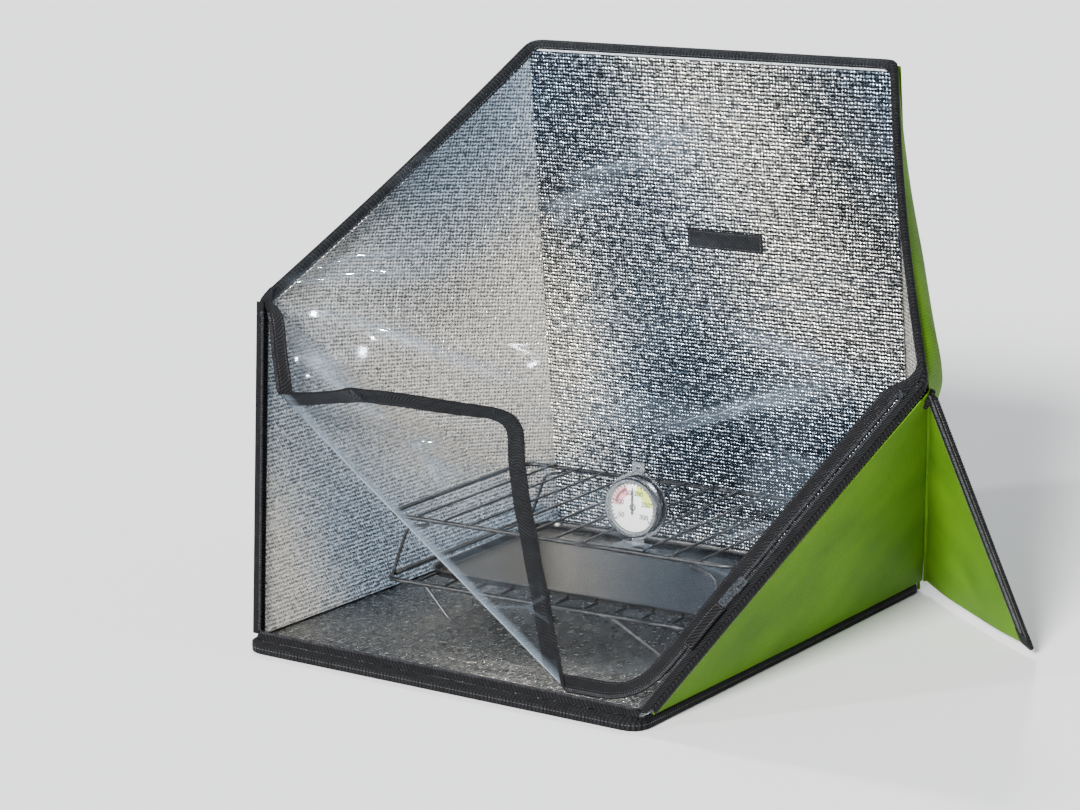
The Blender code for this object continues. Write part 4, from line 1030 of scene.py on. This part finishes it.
# how far the slack film lies in front of its plane: below zero, as it sags behind it
def sag(x, s):
    deep = sum(depth * bump(x, s, *spot) for depth, *spot in filmDents)
    pulled = windowLook["pull"] * wrinkle((x + 0.7 * s, s - 0.5 * x), 0.22, 0.035, 2.0)
    reach = windowLook["edgeHold"]
    hold = smooth((rise + upperRise - s) / windowLook["topHold"])
    hold *= smooth((edgeX(s) - (abs(x) if s > rise else x)) / reach)
    if s <= rise and x < 0:  # the flap's left edge is free, and held only at the side corner
        hold *= smooth((rise + 0.004 - s) / 0.03 + max(0.0, (edgeX(s) + x) / reach))
    return -(deep - pulled - ridges(x, s)) * hold


# a place in the lower window's flat plane, which the frame keeps
def framePoint(x, s, h=0.0):
    return windowFoot + xAxis * x + lowerUp * s + lowerOut * h


def windowPoint(x, s, h=0.0):
    if s <= rise:
        return framePoint(x, s, h + sag(x, s))
    return windowFold + xAxis * x + upperUp * (s - rise) + upperOut * (h + sag(x, s))


creaseStart = Vector((-edgeX(windowLook["creaseLeft"]), windowLook["creaseLeft"], 0))
creaseEnd = Vector((windowLook["creaseFront"], 0, 0))
creaseAlong = (creaseEnd - creaseStart).normalized()
creaseAway = Vector((creaseAlong.y, -creaseAlong.x, 0))  # towards the turned-over corner's closed place


def creaseDistance(x, s):
    return (Vector((x, s, 0)) - creaseStart).dot(creaseAway)


deepest = creaseDistance(-footHalf, 0.0)


# where a point of the turned-over corner lies: round the crease, then back over the window, its tip drooping
def foldedPoint(x, s, h=0.0):
    d = creaseDistance(x, s)
    a = (Vector((x, s, 0)) - creaseStart).dot(creaseAlong)
    radius = windowLook["cornerLift"] / 2
    if d < math.pi * radius:
        turn = d / radius
        flat, height = radius * math.sin(turn), radius * (1 - math.cos(turn)) + h * math.cos(turn)
    else:
        flat, height = -(d - math.pi * radius), 2 * radius - h
    droop = windowLook["droop"] * max(0.0, d / deepest) ** 1.6
    place = creaseStart + creaseAlong * a + creaseAway * flat + droop
    return windowPoint(place.x, place.y, height)


# the line at an offset inside the flap's edge in three parts: the left tape, the turned-over corner, and the
# front and right tape
def splitLine(offset):
    top = rise - windowLook["partEnd"]
    rounding = windowLook["cornerRadius"] - (offset - windowLook["flapOffset"])
    ends = ((-1, top), (-1, offset), (1, offset), (1, top))
    corners = [(sign * edgeX(s, offset), s, 0) for sign, s in ends]
    line = roundedPath(corners, rounding, windowLook["lineStep"])
    beyond = [k for k, p in enumerate(line) if creaseDistance(p.x, p.y) > 0]
    first, last = beyond[0], beyond[-1]
    return line[: first + 1], line[first : last + 1], line[last:]


# one part of the line thinned to fewer points, which stay close where the corner bends round the crease
def partLine(part, offset, step):
    line = splitLine(offset)[part]
    last = len(line) - 1
    total = windowLook["lineStep"] * last
    count = max(2, round(total / step))
    places = [total * k / count for k in range(count + 1)]
    if part == 1:
        near = [windowLook["lineStep"] * k for k in range(12)]
        least = near[-1] + step * 0.3
        middle = [p for p in places if least < p < total - least]
        places = near + middle + [total - p for p in reversed(near)]
    return [line[min(last, round(p / total * last))] for p in places]


# whitening along the corner's fold and all of each crease line, and painted highlight on the pulled folds
def markCreases(piece, linesFrom=None):
    layer = piece.data.attributes.new("creaseWhiteAndHighlight", "FLOAT", "POINT")
    for vertex, item in zip(piece.data.vertices, layer.data):
        up = (vertex.co - windowFoot).dot(lowerUp)
        if linesFrom is None:
            item.value = math.exp(-((creaseDistance(vertex.co.x, up) / windowLook["whitened"]) ** 2))
        elif vertex.index >= linesFrom:
            item.value = 1.0
        else:
            over = (vertex.co - windowFold).dot(upperUp)
            place = rise + over if over > 0 else min(up, rise)
            # along each pulled fold, a painted highlight band
            item.value = min(0.5, 0.42 * ridges(vertex.co.x, place, 0.9, asHeight=False))


# the whitened line along each sharp fold, thinning out at both ends
def addCreaseLines(shape):
    for x1, s1, x2, s2, _, _ in filmRidges:
        count = max(8, round(math.hypot(x2 - x1, s2 - s1) / 0.004))
        path, scales = [], []
        for t in (i / count for i in range(count + 1)):
            bent = 0.0016 * math.sin(t * 9.0 + x1 * 60) + 0.0007 * math.sin(t * 31.0)
            path.append(windowPoint(x1 + (x2 - x1) * t + bent, s1 + (s2 - s1) * t - bent, 0.0003))
            uneven = 0.75 + 0.25 * math.sin(t * 23.0 + s1 * 90)
            scales.append((0.15 + 0.85 * math.sin(math.pi * t)) * uneven)
        addBar(shape, path, lowerOut, roundRing(*windowLook["creaseLine"]), scales=scales)


def filmPiece():
    columns, upperLines, lowerLines = 120, 60, 76
    offset = windowLook["filmOffset"]
    radius = windowLook["cornerRadius"] * 0.7
    spans = []
    for i in range(upperLines):
        s = rise + upperRise * (1 - i / upperLines)
        spans.append((s, -edgeX(s, 0.001), edgeX(s, 0.001)))
    for i in range(lowerLines + 1):
        s = rise - (rise - offset) * i / lowerLines
        onCrease = creaseStart.x + creaseAlong.x * (s - creaseStart.y) / creaseAlong.y
        inside = max(0.0, radius - (s - offset))
        cut = radius - math.sqrt(max(0.0, radius**2 - inside**2))
        spans.append((s, max(-edgeX(s, offset), onCrease), edgeX(s, offset) - cut))
    rows = []
    for s, left, right in spans:
        rows.append([windowPoint(left + (right - left) * j / columns, s) for j in range(columns + 1)])
    shape = newShape()
    addSheet(shape, rows, windowLook["film"])
    linesFrom = len(shape["verts"])
    addCreaseLines(shape)
    pane = makePiece("windowFilm", shape, film, None, ["window_film_upper", "window_film_lower"])
    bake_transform(pane)
    markCreases(pane, linesFrom)


def blendCorner(piece):
    middle = framePoint(creaseStart.x, creaseStart.y)
    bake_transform(piece)


def cornerPiece():
    line = splitLine(windowLook["filmOffset"])[1]
    depths = [creaseDistance(p.x, p.y) for p in line]
    apex = depths.index(max(depths))
    levels = [windowLook["lineStep"] * k for k in range(10)]
    while levels[-1] + windowLook["cornerLines"] < depths[apex]:
        levels.append(levels[-1] + windowLook["cornerLines"])
    levels.append(depths[apex] - 0.0004)
    rows = []
    for level in levels:
        start = line[next(i for i in range(apex + 1) if depths[i] >= level)]
        end = line[next(i for i in range(len(line) - 1, apex - 1, -1) if depths[i] >= level)]
        rows.append([foldedPoint(*start.lerp(end, j / 40).xy) for j in range(41)])
    shape = newShape()
    addSheet(shape, rows, windowLook["film"])
    flap = makePiece("windowCornerFilm", shape, film, None, ["window_film_corner"])
    blendCorner(flap)
    markCreases(flap)


# a ribbon on the window between two offsets from its edge, over one of the three parts of its line
def ribbon(shape, part, inner, outer, thickness, height, across):
    place = foldedPoint if part == 1 else windowPoint
    lines = [partLine(part, inner + (outer - inner) * k / across, 0.006) for k in range(across + 1)]
    count = min(len(line) for line in lines)
    rows = []
    for i in range(count):
        points = [line[round(i * (len(line) - 1) / (count - 1))] for line in lines]
        rows.append([place(p.x, p.y, height) for p in points])
    addSheet(shape, rows, thickness, tape=True)


# a line on the window at an offset from its edge, lifted off it, with the way it faces
def lineOnWindow(part, offset, height):
    place = foldedPoint if part == 1 else windowPoint
    line = partLine(part, offset, 0.003)
    points, raised = ([place(p.x, p.y, high) for p in line] for high in (height, height + 0.001))
    return points, [(b - a).normalized() for a, b in zip(points, raised)]


flapLook = {
    # two offsets from the flap's edge, thickness and height
    "tape": (0.0, windowLook["tapeWidth"], windowLook["tapeThickness"], 0.0005),
    "coil": (0.0012, 0.0028, 0.001, 0.0012),
    "teeth": (0.002, 0.0016),  # offset and height
    "stitchRows": ((0.0052, 0.00095), (0.0135, 0.00095)),
}


def flapTapes():
    inner = windowLook["flapOffset"]
    for part, name, replaced in (
        (0, "flapTapeLeft", ["flap_zip_left"]),
        (1, "cornerTape", ["corner_zip_side", "corner_zip_front"]),
        (2, "flapTapeRight", ["flap_zip_right", "flap_zip_front"]),
    ):
        shape = newShape()
        for kind, across in (("tape", 4), ("coil", 2)):
            near, far, thickness, height = flapLook[kind]
            ribbon(shape, part, inner + near, inner + far, thickness, height, across)
        offset, height = flapLook["teeth"]
        addMarks(shape, *lineOnWindow(part, inner + offset, height), *windowLook["teeth"])
        for offset, height in flapLook["stitchRows"]:
            addMarks(shape, *lineOnWindow(part, inner + offset, height), *windowLook["tapeStitch"])
        piece = makePiece(name, shape, webbing, None if part == 1 else "window_flap", replaced, thread=coil)
        if part == 1:
            blendCorner(piece)


frameLook = {
    "reach": 0.0065,
    # inner offset, thickness and height
    "sideTape": (-0.0015, windowLook["tapeThickness"], 0.0),
    "frontTape": (-0.001, windowLook["tapeThickness"], 0.0),
    "coil": (0.0043, 0.0012, 0.0009),
    "teeth": (0.0054, 0.0013),  # offset and height
    "sewnIn": (0.003, 0.006, -0.0004),  # how far under the binding, and the tape's width and height there
}


def frameTapes():
    reach, edge = frameLook["reach"], edgeX(0, 0.002)
    offset, high = frameLook["teeth"]
    under, narrowed, sewnHigh = frameLook["sewnIn"]
    shape = newShape()
    for side, _ in bothSides:
        for low, thickness, height in (frameLook["sideTape"], frameLook["coil"]):

            def onSide(u, v):
                s = 0.004 + (rise - 0.005) * v
                return framePoint(side * edgeX(s, low + (reach - low) * u), s, height)

            addSheet(shape, rowsOf(60, 3, onSide), thickness, tape=True)
        line = [framePoint(side * edgeX(s, offset), s, high) for s in (0.006, rise - 0.012)]
        addMarks(shape, line, lowerOut, *windowLook["teeth"])

        # where the flap's tape is sewn in under the binding, past the side corner
        def sewnIn(u, v):
            s = rise - 0.011 + 0.027 * v
            bend = smooth(v)
            inwards = windowLook["flapOffset"] * (1 - bend) - under * bend
            inwards += u * (windowLook["tapeWidth"] * (1 - bend) + narrowed * bend)
            return windowPoint(side * edgeX(s, inwards), s, sewnHigh)

        addSheet(shape, rowsOf(14, 4, sewnIn), windowLook["tapeThickness"], tape=True)
    for low, thickness, height in (frameLook["frontTape"], frameLook["coil"]):

        def onFront(u, v):
            return framePoint(edge * (2 * v - 1), low + (reach - low) * u, height)

        addSheet(shape, rowsOf(40, 3, onFront), thickness, tape=True)
    line = [framePoint(x, offset, high) for x in (-edgeX(0, 0.004), edgeX(0, 0.004))]
    addMarks(shape, line, lowerOut, *windowLook["teeth"])
    replaced = ["frame_zip_left", "frame_zip_right", "frame_zip_front"]
    makePiece("frameTapes", shape, webbing, "case", replaced, thread=coil)


filmPiece()
cornerPiece()
flapTapes()
frameTapes()
print("window made")


# racks and tray

rackLook = {
    "turn": math.radians(2.2),
    "place": (0.02133, 0.01039, 0),
    "depth": 0.230,
    "lower": (0.356, 0.0415),  # width and height of the frame
    "upper": (0.346, 0.1),
    "rail": 0.002,
    "cross": 0.0012,
    "gap": 0.028,
    "sunk": 0.0007,  # how deep the cross wires are pressed into the rail
    "overhang": 0.001,
    "leg": 0.0015,
    # across and up, along each leg
    "foot": ((0.133, 0.0405), (0.107, 0.0124), (0.054, 0.0405)),
    "upperLeg": ((0.129, 0.0962), (0.151, 0.0912), (0.168, 0.0453)),
}
rackPlace = Matrix.Translation(rackLook["place"]) @ Matrix.Rotation(rackLook["turn"], 4, "Z")


def addWire(shape, points, rounding, step, radius, closed=False, sides=12):
    path = [rackPlace @ p for p in roundedPath(points, rounding, step, closed)]
    tangent = path[1] - path[0]
    out = zAxis if abs(tangent.normalized().z) < 0.8 else xAxis
    outs = []
    for i in range(len(path)):
        along = (path[(i + 1) % len(path)] - path[i - 1]) if closed or 0 < i < len(path) - 1 else tangent
        if along.length > 1e-9:
            side = along.cross(out)
            if side.length > 1e-6:
                out = side.cross(along).normalized()
        outs.append(out.copy())
    addBar(shape, path, outs, roundRing(radius, sides), closed=closed)


def addGrid(shape, width, z):
    w, d, gap, cross = width / 2, rackLook["depth"] / 2, rackLook["gap"], rackLook["cross"]
    corners = ((w, d, z), (-w, d, z), (-w, -d, z), (w, -d, z))
    addWire(shape, corners, 0.02, 0.004, rackLook["rail"], closed=True)
    count = int((width - gap) / gap)
    top = z + rackLook["rail"] + cross - rackLook["sunk"]
    out = d + rackLook["overhang"]
    for x in ((i - (count - 1) / 2) * gap for i in range(count)):
        across = ((-out, -0.0004), (-d + 0.006, 0.0), (d - 0.006, 0.0), (out, -0.0004))
        addWire(shape, [(x, y, top + up) for y, up in across], 0.004, 0.012, cross, sides=8)


def racks():
    y = rackLook["depth"] / 2
    shape = newShape()
    addGrid(shape, *rackLook["lower"])
    for sx, sy in ((-1, -1), (-1, 1), (1, -1), (1, 1)):
        foot = [(sx * x, sy * y, z) for x, z in rackLook["foot"]]
        addWire(shape, foot, 0.006, 0.003, rackLook["leg"], sides=10)
    makePiece("lowerRack", shape, wire, "case", ["lower_rack"])
    shape = newShape()
    addGrid(shape, *rackLook["upper"])
    makePiece("upperRack", shape, wire, "rack_and_dial", ["upper_rack"])
    for side, name in bothSides:
        front = [(side * x, -y, z) for x, z in rackLook["upperLeg"]]
        rear = [(x, y, z) for x, _, z in reversed(front)]
        shape = newShape()
        addWire(shape, front + rear, 0.008, 0.003, rackLook["leg"], sides=10)
        makePiece(f"rackLeg{name.capitalize()}", shape, wire, "rack_and_dial", [f"upper_rack_leg_{name}"])


trayLook = {
    "size": (0.288, 0.206),
    "radius": 0.022,
    # outwards and up from the foot, then outwards and down from the rim, and last the bottom inside
    "outside": ((-0.006, 0.0), (-0.003, 0.0006)),
    "rim": (
        (-0.0022, 0.0022), (-0.0004, 0.0014), (0.0, 0.0008), (-0.0003, 0.0002), (-0.0012, 0.0),
        (-0.0022, 0.0004), (-0.003, 0.0016),
    ),
    "inside": ((-0.0038, 0.0016), (-0.0052, 0.0008), (-0.015, 0.0008)),
    "insideRadius": 0.013,
}


def bakingTray():
    low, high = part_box("baking_tray")
    width, depth = trayLook["size"]
    profile = [(grow, low.z + up) for grow, up in trayLook["outside"]]
    profile += [(grow, high.z - down) for grow, down in trayLook["rim"]]
    profile += [(grow, low.z + up) for grow, up in trayLook["inside"]]
    rings = []
    for k, (grow, z) in enumerate(profile):
        a, b = width / 2 + grow, depth / 2 + grow
        radius = trayLook["insideRadius"] if k == len(profile) - 1 else trayLook["radius"] + grow
        rings.append([rackPlace @ Vector((x, y, z)) for x, y in bandRing(a, -b, b, radius, 8)])
    shape = newShape()
    addLoft(shape, rings)
    makePiece("bakingTray", shape, enamel, "tray", ["baking_tray"])


racks()
bakingTray()
print("racks and tray made")


# label patch, pull tag and dial

# the span of a node's vertices along a direction
def span(node, way):
    places = [v.co.dot(way) for v in nodes[node].data.vertices]
    return min(places), max(places)


# a flat patch of tape in a node's place, with a row of stitches inside its edge
def patch(name, node, body, along, across, bow, stitch):
    out = along.cross(across).normalized()
    (a0, a1), (b0, b1), (c0, c1) = (span(node, way) for way in (along, across, out))
    middle = (c0 + c1) / 2

    def place(u, t, high=0.0):
        lift = bow * math.sin(math.pi * t) + bow * 0.4 * math.sin(5 * t + 1)
        return along * (a0 + (a1 - a0) * t) + across * (b0 + (b1 - b0) * u) + out * (middle + lift + high)

    shape = newShape()
    addSheet(shape, rowsOf(max(8, round((a1 - a0) / 0.002)), 6, place), (c1 - c0) * 0.8, tape=True)
    t, u = 0.0016 / (a1 - a0), 0.0016 / (b1 - b0)
    corners = ((u, t), (u, 1 - t), (1 - u, 1 - t), (1 - u, t), (u, t))
    for face in (-1, 1):
        high = face * (c1 - c0) * 0.4
        for (u0, t0), (u1, t1) in zip(corners, corners[1:]):
            line = [place(u0 + (u1 - u0) * k / 20, t0 + (t1 - t0) * k / 20, high) for k in range(21)]
            addMarks(shape, line, out * face, stitch, stitch * 0.65, 0.0006, 0.0003)
    makePiece(name, shape, webbing, body, [node], thread=thread)


dialLook = {
    "place": (0.09773, -0.08975, 0.1375),
    "face": (0.03839, -0.99926, 0.0),
    "radius": 0.0211,
    "front": 0.0087,
    "scale": (math.radians(215), math.radians(-35)),
    "numbers": (50, 100, 150, 200, 250, 300),
    "numberSize": 0.0058,
    "numberWeight": 0.0001,
    "printed": 0.0002,
    "paper": "#DCDDD8",
    "ink": "#17181A",
    # colour, inner and outer share of the radius, the turns where the zone starts and ends, and its height
    "zones": {
        "dialWarmZone": ("#D4808C", 0.5, 0.92, 1.9, 3.1, 0.00008),
        "dialReadyZone": ("#B7CA2C", 0.55, 0.95, 0.1, 1.35, 0.00008),
        "dialRedArc": ("#640412", 0.7, 0.82, 1.95, 2.95, 0.00014),
    },
}


# printed enamel on tin plate: smooth, with a faint speckle of the print
def printedEnamel(name, colour):
    darker = "#" + "".join(f"{int(int(colour[i:i + 2], 16) * 0.88):02X}" for i in (1, 3, 5))
    return speckled(name, 1500.0, 1.0, (0.3, darker), (0.6, colour), Roughness=0.4, IOR=1.5), "dial_card"


def thermometerDial():
    centre, face = Vector(dialLook["place"]), Vector(dialLook["face"])
    right = zAxis.cross(face).normalized()
    radius, front, printed = dialLook["radius"], dialLook["front"], dialLook["printed"]

    def place(r, turn, high):
        way = right * math.cos(turn) + zAxis * math.sin(turn)
        return centre + way * r * radius + face * (front + high)

    def addRingPart(shape, r0, r1, start, end, high):
        count = max(2, round(abs(end - start) / 0.1))
        base = len(shape["verts"])
        for k in range(count + 1):
            turn = start + (end - start) * k / count
            for r in (r0, r1):
                shape["verts"].append(place(r, turn, high))
                shape["uvs"].append((r * math.cos(turn), r * math.sin(turn)))
        for a in range(base, base + 2 * count, 2):
            shape["faces"].append((a, a + 1, a + 3, a + 2))

    profile = ((0.08, 0.0), (0.5, 0.0), (0.985, 0.0), (1.0, -0.0002), (1.0, -0.0006), (0.08, -0.0006))
    shape = newShape()
    addLoft(shape, [[place(r, 2 * math.pi * k / 64, high) for k in range(64)] for r, high in profile])
    paper = printedEnamel("dialWhite", dialLook["paper"])
    makePiece("dialPlate", shape, paper, "rack_and_dial", ["thermometer_dial"])
    for name, (colour, *part) in dialLook["zones"].items():
        shape = newShape()
        addRingPart(shape, *part)
        makePiece(name, shape, printedEnamel(name, colour), "rack_and_dial")
    shape = newShape()
    low, high = dialLook["scale"]
    for k in range(26):
        turn = low + (high - low) * k / 25
        addRingPart(shape, 0.89 if k % 5 else 0.84, 0.96, turn - 0.03, turn + 0.03, printed)
    addRingPart(shape, 0.955, 0.975, high, low, printed)
    addRingPart(shape, 0.09, 0.14, 0, 2 * math.pi, printed)
    for k, number in enumerate(dialLook["numbers"]):
        curve = bpy.data.curves.new("number", "FONT")
        curve.body = str(number)
        curve.size = dialLook["numberSize"]
        curve.offset = dialLook["numberWeight"]
        curve.align_x, curve.align_y = "CENTER", "CENTER"
        held = bpy.data.objects.new("number", curve)
        outline = bpy.data.meshes.new_from_object(held)
        middle = place(0.62, low + (high - low) * k / (len(dialLook["numbers"]) - 1), printed)
        base = len(shape["verts"])
        for x, y, _ in (vertex.co for vertex in outline.vertices):
            shape["verts"].append(middle + right * x + zAxis * y)
            shape["uvs"].append((x, y))
        for polygon in outline.polygons:
            shape["faces"].append(tuple(base + v for v in polygon.vertices))
        bpy.data.objects.remove(held)
        bpy.data.curves.remove(curve)
        bpy.data.meshes.remove(outline)
    makePiece("dialPrint", shape, printedEnamel("dialInk", dialLook["ink"]), "rack_and_dial")


thermometerDial()
patch("labelPatch", "label_patch", "case", xAxis, backUp, 0.0004, 2.6 * mm)
pullAlong, pullAcross = Vector((-0.4137, -0.5442, -0.72987)), Vector((0.91041, -0.24729, -0.33165))
patch("pullTag", "pull_tag", "pull", pullAlong, pullAcross, 0.0008, 2.0 * mm)
print("dial, label patch and pull tag made")


# studio

studioLook = {
    "floor": "#F2F2F0",
    "sky": 1.4,
    "tones": ((0.08, "#FFFFFF"), (0.4, "#A9B1BB"), (0.75, "#525A64")),  # from the horizon up
    "suns": (  # name, strength, angle in degrees, where it comes from
        ("keyLight", 11.0, 13, (0.15, -0.90, 0.41)),
        ("sideLight", 1.6, 4, (-0.50, -0.77, 0.36)),
        ("topLight", 1.6, 5, (-0.46, 0.51, 0.71)),
    ),
    "camera": (1.3163, -2.0570, 0.7185),
    "turn": (math.radians(90 - 12.1), 0, math.radians(33.79)),
    "lens": 95.5,
}


def addObject(name, data):
    made = bpy.data.objects.new(name, data)
    bpy.context.scene.collection.objects.link(made)
    return made


def studio():
    mesh = bpy.data.meshes.new("studioFloor")
    built = bmesh.new()
    bmesh.ops.create_grid(built, x_segments=2, y_segments=2, size=14)
    built.to_mesh(mesh)
    built.free()
    mesh.materials.append(newMaterial("paleFloor", Roughness=0.9, Base_Color=hexColour(studioLook["floor"])))
    addObject("studioFloor", mesh)
    world = bpy.data.worlds.new("studio")
    bpy.context.scene.world = world
    world.use_nodes = True
    direction = addNode(world, "TexCoord").node.outputs["Generated"]
    height = addNode(world, "SeparateXYZ", {"Vector": direction})
    background = world.node_tree.nodes["Background"]
    setInput(background, "Color", addRamp(world, height, *studioLook["tones"]))
    setInput(background, "Strength", studioLook["sky"])
    for name, strength, angle, origin in studioLook["suns"]:
        sun = bpy.data.lights.new(name, "SUN")
        sun.energy = strength
        sun.angle = math.radians(angle)
        addObject(name, sun).rotation_euler = Vector(origin).to_track_quat("Z", "Y").to_euler()
    camera = bpy.data.cameras.new("photoCamera")
    camera.lens = studioLook["lens"]
    camera.sensor_width = 36
    made = addObject("photoCamera", camera)
    made.location = studioLook["camera"]
    made.rotation_euler = studioLook["turn"]
    bpy.context.scene.camera = made


studio()
print("studio made")

for material, solids in (
    (zinc, ("zip_slider", "zip_pull", "zip_stop_left", "zip_stop_right")),
    (steel, ("thermometer_case", "thermometer_bezel", "thermometer_strap", "bimetal_coil")),
    (glass, ("thermometer_lens",)),
    (enamel[0], ("thermometer_pointer",)),
    (foam, ("back_board", "floor_board")),
):
    for node in solids:
        nodes[node].data.materials.clear()
        nodes[node].data.materials.append(material)
print("finishes given to the solid parts")
